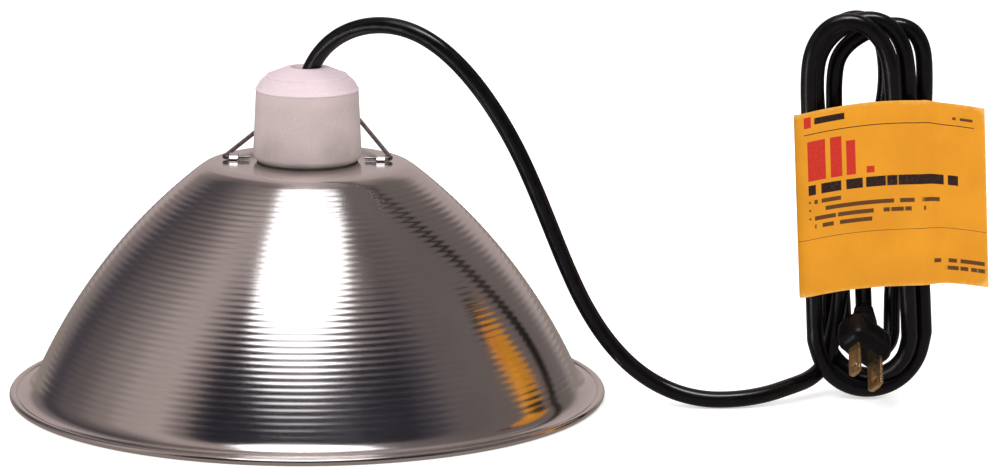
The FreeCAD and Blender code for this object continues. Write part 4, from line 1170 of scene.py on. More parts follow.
    def tent_colour(self, graph: Graph) -> bpy.types.NodeSocket:
        """Colour of the tent by bearing and height: a white panel, dark flags and grey walls.

        Args:
            graph: the tent material's tree.

        Returns:
            The colour.
        """
        spot = graph.add("ShaderNodeVectorMath", {0: graph.place()}, operation="NORMALIZE").outputs[0]
        parts = graph.add("ShaderNodeSeparateXYZ", {0: spot}).outputs
        bearing = graph.math("ARCTAN2", parts["X"], graph.math("MULTIPLY", parts["Y"], -1.0))
        turn = graph.math("ADD", graph.math("DIVIDE", bearing, 2 * math.pi), 0.5)
        height = graph.math("MULTIPLY", graph.math("ARCSINE", parts["Z"]), 180 / math.pi)
        # heights are in degrees above the floor, widths in shares of the tent's radius
        roof_share = graph.between(height, 46.0, 62.0)
        colour = graph.mix(roof_share, self.ring_of_greys(graph, turn, self.walls),
                           self.ring_of_greys(graph, turn, self.roof))
        widening = graph.between(height, 40.0, 60.0, 0.12, 0.315)
        half = graph.math("SUBTRACT", widening, graph.between(height, 60.0, 84.0, 0.0, 0.085))
        centre = graph.between(height, 42.0, 80.0, -0.065, 0.01)
        aside = graph.math("ABSOLUTE", graph.math("SUBTRACT", parts["X"], centre))
        inside = graph.between(graph.math("SUBTRACT", half, aside), -0.025, 0.03)
        panel = graph.math("MULTIPLY", inside, graph.math("LESS_THAN", parts["Y"], 0.05))
        panel = graph.math("MULTIPLY", panel, graph.between(height, 40.0, 57.0))
        return graph.mix(panel, colour, self.panel_white)

    def ring_of_greys(self, graph: Graph, turn: bpy.types.NodeSocket,
                      greys: Sequence[Pair]) -> bpy.types.NodeSocket:
        """Greys set round the tent, cool where dark and warm where light.

        Args:
            graph: the tent's tree.
            turn: bearing as a share of a turn, the front at one half.
            greys: (bearing in degrees, grey) pairs in order.

        Returns:
            The colour.
        """
        ramp = graph.add("ShaderNodeValToRGB", {0: turn})
        ramp.color_ramp.interpolation = "EASE"
        stops = ramp.color_ramp.elements
        while len(stops) < len(greys):
            stops.new(0.5)
        for stop, (bearing, grey) in zip(stops, greys):
            warmth = min(1.0, grey / self.warm_from)
            tint = [cool + (warm - cool) * warmth for cool, warm in zip(self.cool, self.warm)]
            stop.position = (bearing + 180) / 360
            stop.color = (*(grey * part for part in tint), 1)
        return ramp.outputs[0]

    def add_skirt(self) -> None:
        """A grey ring on the floor, which only polished faces mirror."""
        Bench.clear()
        bpy.ops.mesh.primitive_circle_add(vertices=64, radius=self.tent_radius, fill_type="NGON")
        skirt = Bench.named("studio_skirt")
        Bench.seat(skirt, Matrix.Translation((0, 0, self.skirt_height)))
        self.hide_but_mirrored(skirt)
        skirt.data.materials.append(self.glow("grey skirt", lambda graph: self.skirt_grey))

    @staticmethod
    def hang(lamp: Lamp, target: Triple) -> bpy.types.Object:
        """Hang a lamp and turn it towards a point.

        Args:
            lamp: the lamp.
            target: the point that it faces.

        Returns:
            The lamp's object.
        """
        data = bpy.data.lights.new(lamp.name, "AREA")
        data.shape = lamp.shape
        data.size, data.size_y = lamp.size
        data.energy = lamp.power
        hung = bpy.data.objects.new(lamp.name, data)
        hung.location = lamp.spot
        hung.rotation_euler = (Vector(target) - Vector(lamp.spot)).to_track_quat("-Z", "Y").to_euler()
        bpy.context.scene.collection.objects.link(hung)
        return hung

    def add_lamps(self) -> None:
        """Large soft lamps above the front, at the right and behind."""
        for lamp in self.lamps:
            self.hang(lamp, self.lamp_target).visible_glossy = False

    def add_sheen(self, pieces: Sequence[bpy.types.Object]) -> None:
        """Two narrow lamps that only black vinyl mirrors.

        Args:
            pieces: the vinyl pieces.
        """
        vinyl = bpy.data.collections.new("vinyl")
        for piece in pieces:
            vinyl.objects.link(piece)
        for lamp in self.sheens:
            hung = self.hang(lamp, self.sheen_target)
            hung.visible_diffuse = False
            hung.light_linking.receiver_collection = vinyl
            hung.light_linking.blocker_collection = vinyl


# ------------------------------------------------------------------ the mains lead
@dataclass(frozen=True)
class HankTurn:
    """One turn of the hank, in the hank's own frame in millimetres, wound clockwise.

    Attributes:
        left: where its rising strand stands at the shoulder.
        right: where its falling strand stands at the shoulder.
        crest: place across of its highest point.
        top: height of that point.
        low_left: where its rising strand stands at the waist.
        low_right: where its falling strand stands at the waist; not used in the last turn.
        low: height of the bend that leads out of it; not used in the last turn.
        layer: how far back it lies.
    """

    left: float
    right: float
    crest: float
    top: float
    low_left: float
    low_right: float
    low: float
    layer: float


@dataclass
class HankFrame:
    """Where the hank stands: its foot and its lean."""

    foot: Triple = (252.0, 2.0, 0.2)
    lean: float = -3.0

    def place(self) -> Matrix:
        """Matrix from the hank's own frame, in metres, to the fixture's frame."""
        lean = Matrix.Rotation(math.radians(self.lean), 4, "Y")
        return Matrix.Translation(Vector(self.foot) * MM) @ lean

    def spot(self, across: float, deep: float, up: float) -> Vector:
        """A point of the hank's frame, given in millimetres, in the fixture's frame."""
        return self.place() @ (Vector((across, deep, up)) * MM)


@dataclass
class MainsLead:
    """The black mains lead: its free run, its hank and the length to its plug.

    The free run and the plug's run are in millimetres in the fixture's frame; the turns and the
    tail that leads out of the last of them are in the hank's own.
    """

    hank: HankFrame
    radius: float = 3.7 * MM
    length: float = 1.829
    exit_spot: Triple = (0.0018, -0.0008, 0.148)
    free_run: tuple[Triple, ...] = (
        (-2.0, 0.3, 133.0), (-1.3, 0.2, 137.8), (0.5, -0.3, 144.8), (4.2, -1.5, 152.4),
        (10.0, -3.6, 159.5), (18.0, -6.4, 165.0), (27.4, -9.5, 168.2), (37.7, -12.7, 168.8),
        (48.0, -15.4, 166.4), (58.0, -17.6, 161.0), (67.6, -19.2, 152.8), (76.8, -20.2, 142.2),
        (85.6, -20.8, 129.4), (93.9, -21.0, 114.6), (101.3, -20.8, 98.2), (108.3, -20.2, 80.8),
        (115.5, -19.4, 62.8), (123.6, -18.9, 45.2), (133.8, -18.8, 29.2), (146.2, -19.4, 16.2),
        (160.2, -20.8, 7.8), (175.2, -22.8, 3.9), (190.4, -22.6, 3.8), (204.4, -18.0, 5.0),
        (216.4, -10.6, 7.4), (225.4, -2.2, 8.8), (232.0, 2.8, 14.0), (235.0, 3.0, 24.0),
    )
    waist: float = 30.0
    shoulder: float = 148.0
    side_shares: Triple = (0.2, 0.5, 0.8)
    bend_step: int = 30
    turns: tuple[HankTurn, ...] = (
        HankTurn(-19.6, 21.4, 4.4, 171.6, -9.4, 25.4, 3.4, 0.0),
        HankTurn(-23.0, 14.0, -5.4, 172.2, -23.6, 18.4, 8.9, -7.4),
        HankTurn(-10.8, 29.6, 16.0, 167.2, -18.2, 11.6, 16.6, 7.4),
        HankTurn(-19.0, 13.0, 0.0, 170.0, -9.4, 0.0, 0.0, 14.4),
    )
    tail: tuple[Triple, ...] = ((12.4, 14.4, 136.0), (9.36, 13.8, 123.0), (3.9, 13.0, 113.5))
    plug_run: tuple[Triple, ...] = (
        (248.66, -0.2, 40.3), (248.8, 3.7, 42.7), (248.9, 9.3, 47.2), (248.9, 14.4, 53.4),
        (248.8, 18.1, 60.9), (248.5, 20.1, 69.3), (248.0, 20.3, 78.5), (247.4, 18.6, 88.3),
        (246.8, 15.6, 98.3), (246.5, 14.2, 106.7),
    )

    def build(self) -> bpy.types.Object:
        """Make the lead as one smooth line and dress it.

        Returns:
            The lead, a curve.
        """
        points = [Vector(point) * MM for point in self.free_run]
        for number, turn in enumerate(self.turns):
            following = self.turns[number + 1] if number + 1 < len(self.turns) else None
            points += self.wind(turn, following, number == 0)
        points += [Vector(point) * MM for point in reversed(self.plug_run)]
        curve = bpy.data.curves.new("mains_lead", "CURVE")
        curve.dimensions = "3D"
        curve.bevel_depth = self.radius
        curve.bevel_resolution = 5
        curve.resolution_u = 8
        curve.use_fill_caps = True
        line = curve.splines.new("NURBS")
        line.points.add(len(points) - 1)
        for spot, point in zip(line.points, points):
            spot.co = (*point, 1.0)
        line.order_u = 3
        line.use_endpoint_u = True
        lead = bpy.data.objects.new("mains_lead", curve)
        bpy.context.scene.collection.objects.link(lead)
        JACKET.dress(lead)
        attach(lead, Body.FIXTURE.value)
        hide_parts("power_cord", "plug_lead", "cord_hank")
        return lead

    @staticmethod
    def ease(share: float) -> float:
        """A share from 0 to 1 that leaves and arrives gently."""
        return share ** 3 * (10 - 15 * share + 6 * share ** 2)

    def wind(self, turn: HankTurn, following: HankTurn | None, first: bool) -> list[Vector]:
        """Points of one turn: up its left, over, down its right and under to the next turn.

        Args:
            turn: the turn to wind.
            following: the turn that it leads into, or None for the last one.
            first: whether the free run leads into this turn.

        Returns:
            The points in the fixture's frame.
        """
        length = self.shoulder - self.waist
        half = (turn.right - turn.left) / 2
        middle = (turn.right + turn.left) / 2
        spots = [] if first else [(turn.low_left, turn.layer, self.waist)]
        for share in self.side_shares:
            across = turn.low_left + (turn.left - turn.low_left) * self.ease(share)
            spots.append((across, turn.layer, self.waist + length * share))
        for angle in range(180, -1, -self.bend_step):
            rise = math.sin(math.radians(angle))
            lean = (turn.crest - middle) * rise * rise
            across = middle + half * math.cos(math.radians(angle)) + lean
            spots.append((across, turn.layer, self.shoulder + (turn.top - self.shoulder) * rise))
        if following is None:
            spots += self.tail
            return [self.hank.spot(*spot) for spot in spots]
        for share in self.side_shares:
            across = turn.right + (turn.low_right - turn.right) * self.ease(share)
            spots.append((across, turn.layer, self.shoulder - length * share))
        spots.append((turn.low_right, turn.layer, self.waist))
        spots += self.under(turn, following)
        return [self.hank.spot(*spot) for spot in spots]

    def under(self, turn: HankTurn, following: HankTurn) -> list[Triple]:
        """The bend at the hank's foot that leads from one turn into the next.

        Args:
            turn: the turn that ends.
            following: the turn that starts.

        Returns:
            Points in the hank's own frame in millimetres.
        """
        centre = (turn.low_right + following.low_left) / 2
        reach = (turn.low_right - following.low_left) / 2
        sink = min(self.waist - turn.low, reach)
        spots = []
        for angle in range(0, 181, self.bend_step):
            share = angle / 180
            crossed = 3 * share ** 2 - 2 * share ** 3
            layer = turn.layer + (following.layer - turn.layer) * crossed
            spots.append((centre + reach * math.cos(math.radians(angle)), layer,
                          turn.low + sink - sink * math.sin(math.radians(angle))))
        return spots


# ------------------------------------------------------------------ the reflector
@dataclass
class Reflector:
    """Spun aluminium shade: ribbed wall, plain shoulder, flare and rolled bead.

    Sizes are in millimetres, angles in degrees, and places are (radius, height) pairs.
    """

    bead_centre: Pair = (131.75, 1.6)
    bead_radius: float = 1.6
    bead_span: Pair = (-165.0, 166.0)
    bead_gap: float = 0.3
    wall: float = 0.8
    flange: float = 2.5
    flange_tilt: float = 2.0
    fillet: float = 9.0
    wall_centre: Pair = (-106.43, -93.47)
    wall_radius: float = 249.7
    shoulder_centre: Pair = (39.4, 91.2)
    shoulder_radius: float = 14.4
    shoulder_start: float = 62.71
    crown_steps: Triple = (33.0, 24.0, 17.4)
    rib_pitch: float = 2.93
    rib_depth: float = 0.085
    rib_low: float = 8.1
    ribs: int = 41
    first_rib_fade: float = 0.8
    last_rib_fade: float = 5.0
    steps: int = 176
    bridge_inner: float = 30.6
    bridge_width: float = 4.2
    bridge_foot: float = 6.2
    bridge_top: float = 109.0
    bridge_room: float = 0.12
    bridge_edge: float = 0.12
    bridge_lap: float = 0.3
    window_height: float = 3.0

    @property
    def crown(self) -> float:
        """Height of the crown's outer face."""
        return self.shoulder_centre[1] + self.shoulder_radius

    def build(self) -> None:
        """Spin the shade, pierce its crown, add its two bridges and dress it."""
        shade = Bench.turned("reflector_shade", self.outline(), self.steps)
        cutter = Bench.join("window_cutter", [self.window(side) for side in (1, -1)])
        cut = shade.modifiers.new("windows", "BOOLEAN")
        cut.operation = "DIFFERENCE"
        cut.solver = "EXACT"
        cut.object = cutter
        Bench.apply_all(shade)
        bpy.data.objects.remove(cutter)
        shade = Bench.join("reflector_shade", [shade] + [self.bridge(side) for side in (1, -1)])
        Bench.smooth(shade, 40)
        ALUMINIUM.dress(shade)
        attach(shade, Body.FIXTURE.value)
        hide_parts("reflector")

    def sheet(self, offset: float, per_rib: int) -> list[Pair]:
        """Line of the sheet from the flare to the hole, offset inwards.

        Args:
            offset: distance inwards from the outer face.
            per_rib: points on each rib.

        Returns:
            (radius, height) points in millimetres.
        """
        reach = self.wall_radius + self.fillet
        up = self.flange + self.fillet
        across = self.wall_centre[0] + math.sqrt(reach ** 2 - (up - self.wall_centre[1]) ** 2)
        foot = math.degrees(math.atan2(up - self.wall_centre[1], across - self.wall_centre[0]))
        points = arc((across, up), self.fillet + offset, -90 - self.flange_tilt, foot - 180, 12)
        low = math.asin((self.rib_low - self.wall_centre[1]) / self.wall_radius)
        count = self.ribs * per_rib
        step = self.rib_pitch / per_rib / self.wall_radius
        for index in range(count + 1):
            angle = low + index * step
            along = index / per_rib
            fade = min(1.0, along / self.first_rib_fade, (self.ribs - along) / self.last_rib_fade)
            bulge = self.rib_depth / 2 * fade * math.sin(2 * math.pi * along)
            reach = self.wall_radius - offset + bulge
            points.append((self.wall_centre[0] + reach * math.cos(angle),
                           self.wall_centre[1] + reach * math.sin(angle)))
        points += arc(self.shoulder_centre, self.shoulder_radius - offset, self.shoulder_start, 90, 9)
        points += [(across, self.crown - offset) for across in self.crown_steps]
        return points

    def outline(self) -> list[Pair]:
        """The whole section: bead, outer face, hole and inner face.

        Returns:
            (radius, height) points in millimetres.
        """
        bead = arc(self.bead_centre, self.bead_radius, *self.bead_span, 26)
        outer = self.sheet(0.0, 6)
        widest = self.bead_centre[0] - self.bead_radius - self.bead_gap
        inner = [point for point in reversed(self.sheet(self.wall, 4)) if point[0] < widest]
        return bead + outer + inner

    def window(self, side: int) -> bpy.types.Object:
        """Cutter for the window that is left under a lanced bridge.

        Args:
            side: 1 for the bridge at the lead's side, -1 for the other.

        Returns:
            The cutter.
        """
        middle = (side * (self.bridge_inner + self.bridge_width / 2), 0.0, self.crown - self.wall / 2)
        length = 2 * (self.bridge_foot - 1.3 * self.wall)
        cutter = Bench.block("window_cutter_part", (self.bridge_width, length, self.window_height), middle)
        bpy.ops.object.mode_set(mode="OBJECT")
        return cutter

    def bridge(self, side: int) -> bpy.types.Object:
        """A strip lanced from the crown and raised over the hanger's pivot.

        Args:
            side: 1 for the bridge at the lead's side, -1 for the other.

        Returns:
            The strip.
        """
        crown = self.crown - self.wall / 2
        crest = self.bridge_top - self.wall / 2
        width = self.bridge_width - 2 * self.bridge_room
        rise = crest - crown
        half = rise + self.bridge_lap
        reach = (half ** 2 + rise ** 2) / (2 * rise)
        lean = math.degrees(math.asin(half / reach))
        hump = arc((0.0, crest - reach), reach, 90 + lean, 90 - lean, 10)
        foot = self.bridge_foot + self.bridge_lap
        path = [(-foot, crown), *hump, (foot, crown)]
        near = self.bridge_inner + self.bridge_room
        start = near if side > 0 else -(near + width)
        points = [Vector((start, across, up)) * MM for across, up in path]
        strip = Bench.begin_outline("bridge_strip", points[0])
        Bench.run_outline(points)
        bpy.ops.mesh.select_all(action="SELECT")
        bpy.ops.mesh.extrude_region_move(TRANSFORM_OT_translate={"value": (width * MM, 0, 0)})
        Bench.tidy_normals()
        bpy.ops.object.mode_set(mode="OBJECT")
        for kind, settings in (("SOLIDIFY", {"thickness": self.wall * MM, "offset": 0.0}),
                               ("BEVEL", {"width": self.bridge_edge * MM, "segments": 2}),
                               ("SUBSURF", {"levels": 1, "render_levels": 1})):
            modifier = strip.modifiers.new(kind.lower(), kind)
            for name, setting in settings.items():
                setattr(modifier, name, setting)
        Bench.apply_all(strip)
        return strip


# ------------------------------------------------------------------ the lampholder
@dataclass
class Lampholder:
    """Porcelain lampholder with its cap, ring, screw shell, contact and terminals."""

    edge: float = 0.25 * MM
    lines: tuple[Triple, ...] = ((22.45, -9.8, 0.6), (17.6, -4.0, 0.7))
    swell_centre: Pair = (14.2, -11.95)
    swell_radius: float = 8.7
    swell_span: Pair = (17.7, 68.6)

    def build(self) -> None:
        """Finish each piece of the lampholder and its wiring."""
        for node, finish, edge in (
                ("socket_body", PORCELAIN, 0.0), ("socket_cap", CAP_PORCELAIN, 0.0),
                ("retaining_ring", RING_PORCELAIN, self.edge), ("gasket", GASKET_AND_PAINTED_GAP_SHADE, 0.0),
                ("screw_shell", SHELL_BRASS, 0.0), ("insulating_disc", DISC_BOARD, 0.1 * MM),
                ("contact_spring", SPRING_BRASS, 0.0), ("contact_button", CONTACT_BRASS, 0.0),
                ("contact_rivet", RIVET_BRASS, 0.0), ("shell_rivets", RIVET_BRASS, 0.0),
                ("neutral_terminal", TERMINAL_PLATED, 0.08 * MM),
                ("line_terminal", TERMINAL_BRASS, 0.08 * MM),
                ("neutral_screw", SCREW_PLATED, 0.0), ("line_screw", SCREW_PLATED, 0.0),
                ("cap_screws", SCREW_PLATED, 0.0), ("cap_inserts", RIVET_BRASS, 0.0),
                ("cord_clamp", CLAMP_BOARD, 0.15 * MM),
                ("line_wire", CORE_DARK, 0.0), ("neutral_wire", CORE_PALE, 0.0)):
            piece = Bench.refined(node, "lampholder_" + node, edge)
            if node == "socket_cap":
                piece = Bench.join(piece.name, [piece] + self.raised_lines())
            finish.dress(piece)
            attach(piece, BODY_OF[node].value)
            if node == "contact_spring":
                self.let_spring_fold(piece)

    @staticmethod
    def let_spring_fold(spring: bpy.types.Object) -> None:
        """Give the spring its own copy of its mesh.

        Args:
            spring: the finished spring, whose upper end is riveted fast.
        """
        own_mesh(spring)

    def raised_lines(self) -> list[bpy.types.Object]:
        """What stands proud of the cap: the lip at its seam, the ridge round its top and its full side.

        Returns:
            The rings, to be joined to the cap.
        """
        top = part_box("socket_cap")[1].z / MM
        rounds = [arc((across, top + drop), size, 0, 324, 10) for across, drop, size in self.lines]
        across, drop = self.swell_centre
        rounds.append(arc((across, top + drop), self.swell_radius, *self.swell_span, 9))
        return [Bench.turned("cap_line", line) for line in rounds]


# ------------------------------------------------------------------ the hanger
@dataclass
class Hanger:
    """Steel wire hanger that pivots in the two bridges."""

    def build(self) -> None:
        """Finish the bent wire."""
        piece = Bench.refined("hanger_wire", "hanger_bent_wire")
        HANGER_STEEL.dress(piece)
        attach(piece, Body.HANGER.value)


# ------------------------------------------------------------------ the card sleeve
@dataclass
class CardSleeve:
    """Printed card wrapped round the hank, its ends doubled into a stapled flap, in millimetres.

    Attributes:
        hank: the frame that it stands in.
        half: half the width of the wrap.
        front: how far back the front panel lies.
        back: how far back the back panel lies.
        flap: how far out the flap reaches.
        flap_front: how far back the flap's front leaf lies.
        flap_back: how far back its back leaf lies.
        low: height of the lower edge before it is arched.
        high: height of the upper edge before it is arched.
        arch_middle: place across of the arch's highest point.
        arch_low: rise of the arch at the lower edge.
        arch_high: rise of the arch at the upper edge.
        back_drop: how much lower the upper edge is at the back.
        side_taper: how much narrower the left side is at the back.
        taper_from: place across from which that side narrows.
        crease: height of the crease over the lower edge.
        crease_reach: how far above and below itself the crease is felt.
        crease_depth: depth of the crease.
        front_reach: how far forward the card has its full puff.
        front_puff: how far the front puffs out.
        waves: depth of the front's waves, and their turn in radians per millimetre across and up.
        thick: thickness of the card.
        rows: rows of faces up the card.
        staple_wire: thickness of the staples' wire.
        staple_crown: length of a staple's back.
        staple_heights: heights of the staples' middles.
        staple_gap: how far behind the flap's back leaf the wire's middle lies.
        staple_bend: how much of the back's length the bends take up.
        staple_leg: how far the legs reach into the card.
    """

    hank: HankFrame
    half: float = 29.9
    front: float = -11.6
    back: float = 24.7
    flap: float = 54.5
    flap_front: float = -3.72
    flap_back: float = -3.08
    low: float = 48.4
    high: float = 131.0
    arch_middle: float = 12.0
    arch_low: float = 4.3
    arch_high: float = 5.0
    back_drop: float = 12.0
    side_taper: float = 4.6
    taper_from: float = -20.0
    crease: float = 25.5
    crease_reach: float = 9.0
    crease_depth: float = 0.55
    front_reach: float = 11.0
    front_puff: float = 0.25
    waves: Triple = (0.35, 0.11, 0.05)
    thick: float = 0.56
    rows: int = 22
    staple_wire: float = 0.7
    staple_crown: float = 12.0
    staple_heights: Pair = (63.0, 118.0)
    staple_gap: float = 0.75
    staple_bend: float = 0.4
    staple_leg: float = 0.3

    def build(self) -> None:
        """Fold the card, lay its print flat in a UV map and staple the flap."""
        path = self.path()
        sleeve = Bench.begin_outline("card_sleeve_wrap", Vector((*path[0], self.low)) * MM)
        Bench.run_outline([Vector((*point, self.low)) * MM for point in path])
        rise = (self.high - self.low) / self.rows
        bpy.ops.mesh.select_all(action="SELECT")
        for _ in range(self.rows):
            bpy.ops.mesh.extrude_region_move(TRANSFORM_OT_translate={"value": (0, 0, rise * MM)})
        bpy.ops.object.mode_set(mode="OBJECT")
        self.lay_print(sleeve)
        self.bend(sleeve)
        thicken = sleeve.modifiers.new("card thickness", "SOLIDIFY")
        thicken.thickness = self.thick * MM
        thicken.offset = 0.0
        Bench.apply_all(sleeve)
        Bench.smooth(sleeve, 40)
        Bench.seat(sleeve, self.hank.place())
        CARD.dress(sleeve)
        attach(sleeve, Body.FIXTURE.value)
        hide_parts("card_sleeve")
        self.staples()

    def path(self) -> list[Pair]:
        """Line of the card seen from above, from the flap's edge round the hank and back.

        Returns:
            (across, deep) points in the hank's own frame.
        """
        half, front, back, flap = self.half, self.front, self.back, self.flap_front
        fold, corner = ((3.4, 0.2), (1.6, 0.9), (0.4, 2.2)), 4.4
        points = [(self.flap - step * 2.6, flap) for step in range(7)]
        points += [(36.5, flap - 0.15), (34.2, flap - 0.8), (31.8, flap - 2.2), (29.6, flap - 4.0),
                   (27.4, flap - 5.7), (25.0, front + 1.0), (22.0, front + 0.45), (18.5, front + 0.15)]
        points += [(18.5 - step * 3.1, front - 0.25 * math.sin(math.pi * step / 14)) for step in range(1, 14)]
        points += [(-24.6, front)] + [(inset - half, front + drop) for inset, drop in fold]
        points += [(-half, front + corner + step * (back - front - 2 * corner) / 8) for step in range(9)]
        points += [(inset - half, back - drop) for inset, drop in reversed(fold)]
        points += [(6.0 - half + step * (2 * half - 12.0) / 12, back) for step in range(13)]
        points += [(half - inset, back - drop) for inset, drop in fold]
        points += [(half, back - corner - step * (back - corner - 3.0) / 7) for step in range(8)]
        points += [(half + 0.2, 1.0), (half + 0.9, -0.9), (half + 2.2, -2.2), (half + 4.0, -2.9)]
        step_back = (self.flap - half - 6.2) / 6
        points += [(half + 6.2 + step * step_back, self.flap_back) for step in range(7)]
        return points

    def lay_print(self, sleeve: bpy.types.Object) -> None:
        """Lay the UV map in metres from the lower left of the front: across the card, and up it.

        Args:
            sleeve: the card, still upright in the hank's own frame.
        """
        while sleeve.data.uv_layers:
            sleeve.data.uv_layers.remove(sleeve.data.uv_layers[0])
        layer = sleeve.data.uv_layers.new(name="print")
        reach = (self.flap + self.half) * MM
        for loop in sleeve.data.loops:
            spot = sleeve.data.vertices[loop.vertex_index].co
            facing = spot.y < (self.flap_front + 0.1) * MM and spot.x > (0.1 - self.half) * MM
            across = spot.x + self.half * MM + (0 if facing else 2 * reach)
            layer.data[loop.index].uv = (across, spot.z - self.low * MM)

    def bend(self, sleeve: bpy.types.Object) -> None:
        """Arch the card's edges and print, and fold the crease in.

        Args:
            sleeve: the card, still upright in the hank's own frame.
        """
        reach = (self.flap + self.half) / 2
        wave_depth, wave_across, wave_up = self.waves
        for vertex in sleeve.data.vertices:
            across, up = vertex.co.x / MM, vertex.co.z / MM
            share = (up - self.low) / (self.high - self.low)
            arch = self.arch_low + (self.arch_high - self.arch_low) * share
            from_middle = (across - self.arch_middle) / reach
            near_crease = max(0.0, 1 - abs(up - self.low - self.crease) / self.crease_reach)
            front = max(0.0, min(1.0, -vertex.co.y / MM / self.front_reach))
            behind = max(0.0, (vertex.co.y / MM - self.front - 3) / (self.back - self.front))
            rise = arch * max(0.0, 1 - from_middle ** 2)
            vertex.co.z += (rise - self.back_drop * behind * share) * MM
            if across < self.taper_from and behind:
                vertex.co.x += self.side_taper * behind * MM
            wave = wave_depth * math.sin(across * wave_across + up * wave_up)
            vertex.co.y += (self.crease_depth * near_crease - self.front_puff + wave) * front * MM

    def staples(self) -> None:
        """Two wire staples behind the flap, legs bent through it."""
        across = (self.half + 0.3 + self.flap) / 2
        deep = self.flap_back + self.staple_gap
        half = self.staple_crown / 2 - self.staple_bend
        made = []
        for middle in self.staple_heights:
            line = [self.hank.spot(across, deep + lift, middle + along) for lift, along in (
                (-self.staple_leg, -half - 0.1), (0.0, 0.2 - half), (0.02, 0.0), (0.0, half - 0.2),
                (-self.staple_leg, half + 0.1))]
            made.append(Bench.wire("staple_part", line, self.staple_wire / 2 * MM, 4))
        staples = Bench.join("card_sleeve_staples", made)
        Bench.smooth(staples)
        STAPLE_STEEL.dress(staples)
        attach(staples, Body.FIXTURE.value)
        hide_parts("sleeve_staples")


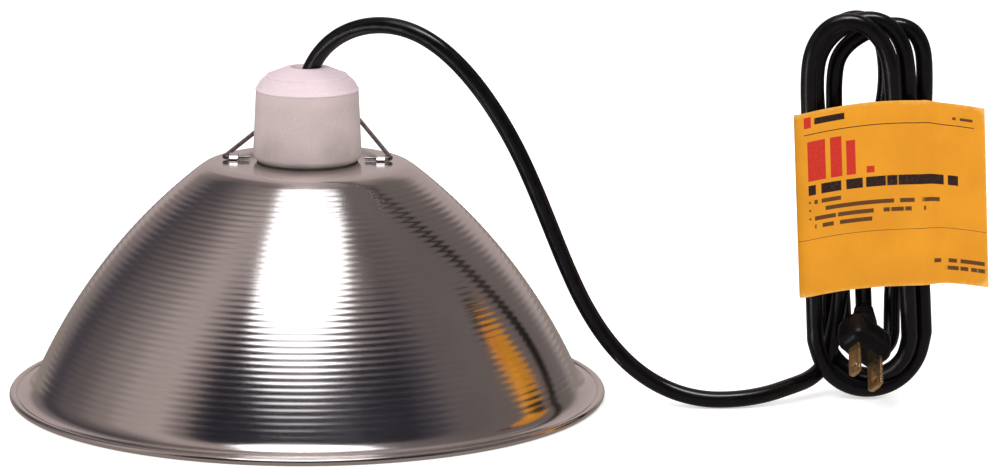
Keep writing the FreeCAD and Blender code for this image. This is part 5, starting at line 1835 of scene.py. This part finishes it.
# ------------------------------------------------------------------ the plug
@dataclass
class Plug:
    """Moulded two-blade plug with its ribbed relief, in millimetres and degrees."""

    face: Triple = (247.8, -24.1, 25.7)
    yaw: float = -2.0
    droop: float = 31.4
    roll: float = 43.7
    half_wide: float = 12.0
    half_thick: float = 7.5
    corner: float = 5.0
    depth: float = 17.0
    collar: tuple[Pair, ...] = ((0.0, 14.0), (5.6, 14.0), (5.9, 18.6))
    tip: tuple[Pair, ...] = ((4.4, 27.8), (3.9, 28.0), (0.0, 28.0))
    rings: int = 4
    ring_low: float = 19.6
    ring_pitch: float = 2.1
    ring_radius: float = 5.7
    ring_taper: float = 0.38
    ring_shape: tuple[Pair, ...] = ((0.0, 0.0), (-0.05, 1.0), (-0.75, 1.25), (-0.8, 1.85))
    end_steps: tuple[Pair, ...] = ((1.6, 1.2), (1.4, 0.3))
    grip_steps: tuple[Pair, ...] = ((1.9, 0.0), (0.8, -0.55))
    eased: float = 0.6

    def place(self) -> Matrix:
        """Matrix of the plug, its own Z towards the lead.

        Returns:
            The matrix to the fixture's frame.
        """
        turn = (Matrix.Rotation(math.radians(self.yaw), 4, "Z")
                @ Matrix.Rotation(math.radians(self.droop - 90), 4, "X")
                @ Matrix.Rotation(math.radians(self.roll), 4, "Z"))
        return Matrix.Translation(Vector(self.face) * MM) @ turn

    def build(self) -> list[bpy.types.Object]:
        """Make the moulding and the two blades.

        Returns:
            The pieces that go with the lead.
        """
        body = self.moulding()
        blades = [self.blade("plug_blade_narrow"), self.blade("plug_blade_wide")]
        return [body] + blades

    def moulding(self) -> bpy.types.Object:
        """The black moulding: rounded block with hollow grips and ringed relief.

        Returns:
            The moulding, dressed and parented to its body.
        """
        size = (2 * self.half_wide, 2 * self.half_thick, self.depth)
        block = Bench.block("plug_moulding", size, (0.0, 0.0, self.depth / 2))
        bpy.ops.mesh.select_all(action="DESELECT")
        bpy.ops.object.mode_set(mode="OBJECT")
        for edge in block.data.edges:
            one, two = (block.data.vertices[index].co for index in edge.vertices)
            edge.select = abs(one.z - two.z) > DOUBLED
        bpy.ops.object.mode_set(mode="EDIT")
        bpy.ops.mesh.select_mode(type="EDGE")
        bpy.ops.mesh.bevel(offset=self.corner * MM, segments=8)
        self.pick(block, lambda normal: normal.z > 0.9)
        self.step(self.end_steps)
        for sign in (1, -1):
            self.pick(block, lambda normal, sign=sign: normal.y * sign > 0.99)
            self.step(self.grip_steps)
        bpy.ops.object.mode_set(mode="OBJECT")
        Bench.ease_edges(block, self.eased * MM, segments=3, angle=35)
        relief = Bench.turned("plug_relief", self.relief(), 40, closed=False)
        plug = Bench.join("plug_moulding", [block, relief])
        Bench.seat(plug, self.place())
        Bench.smooth(plug, 40)
        PLUG_VINYL.dress(plug)
        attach(plug, Body.FIXTURE.value)
        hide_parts("plug_body")
        return plug

    @staticmethod
    def step(steps: Sequence[Pair]) -> None:
        """Inset the selected faces step by step, each an (inwards, outwards) pair in millimetres."""
        for inwards, outwards in steps:
            bpy.ops.mesh.inset(thickness=inwards * MM, depth=outwards * MM)

    def relief(self) -> list[Pair]:
        """Outline of the ringed relief, from the moulding to the lead.

        Returns:
            (radius, height) points in millimetres.
        """
        rings = list(self.collar)
        for number in range(self.rings):
            up = self.ring_low + number * self.ring_pitch
            wide = self.ring_radius - number * self.ring_taper
            rings += [(wide + out, up + along) for out, along in self.ring_shape]
        return rings + list(self.tip)

    @staticmethod
    def pick(piece: bpy.types.Object, test: Callable[[Vector], bool]) -> None:
        """Select the faces of the piece in edit mode by their normals.

        Args:
            piece: the piece.
            test: whether a face with this normal is selected.
        """
        bpy.ops.mesh.select_all(action="DESELECT")
        bpy.ops.object.mode_set(mode="OBJECT")
        for face in piece.data.polygons:
            face.select = test(face.normal)
        bpy.ops.object.mode_set(mode="EDIT")
        bpy.ops.mesh.select_mode(type="FACE")

    def blade(self, node: str) -> bpy.types.Object:
        """A folded brass blade, its edges eased.

        Args:
            node: the blade's frame node.

        Returns:
            The blade, dressed and parented to its body.
        """
        piece = Bench.refined(node, node + "_eased", 0.22 * MM)
        BLADE_BRASS.dress(piece)
        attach(piece, BODY_OF[node].value)
        return piece


def main() -> None:
    """Build the studio and every piece of the fixture in order."""
    logging.basicConfig(level=logging.INFO, format="%(name)s: %(message)s")
    studio = Studio()
    studio.build()
    LOG.info("studio ready")
    hank = HankFrame()
    mains = MainsLead(hank)
    lead = mains.build()
    LOG.info("mains lead wound")
    plug = Plug().build()
    LOG.info("plug moulded")
    studio.add_sheen([lead] + list(plug))
    CardSleeve(hank).build()
    LOG.info("card sleeve folded")
    Reflector().build()
    LOG.info("reflector spun")
    Hanger().build()
    Lampholder().build()
    LOG.info("lampholder and hanger finished")


if __name__ == "__main__":
    main()
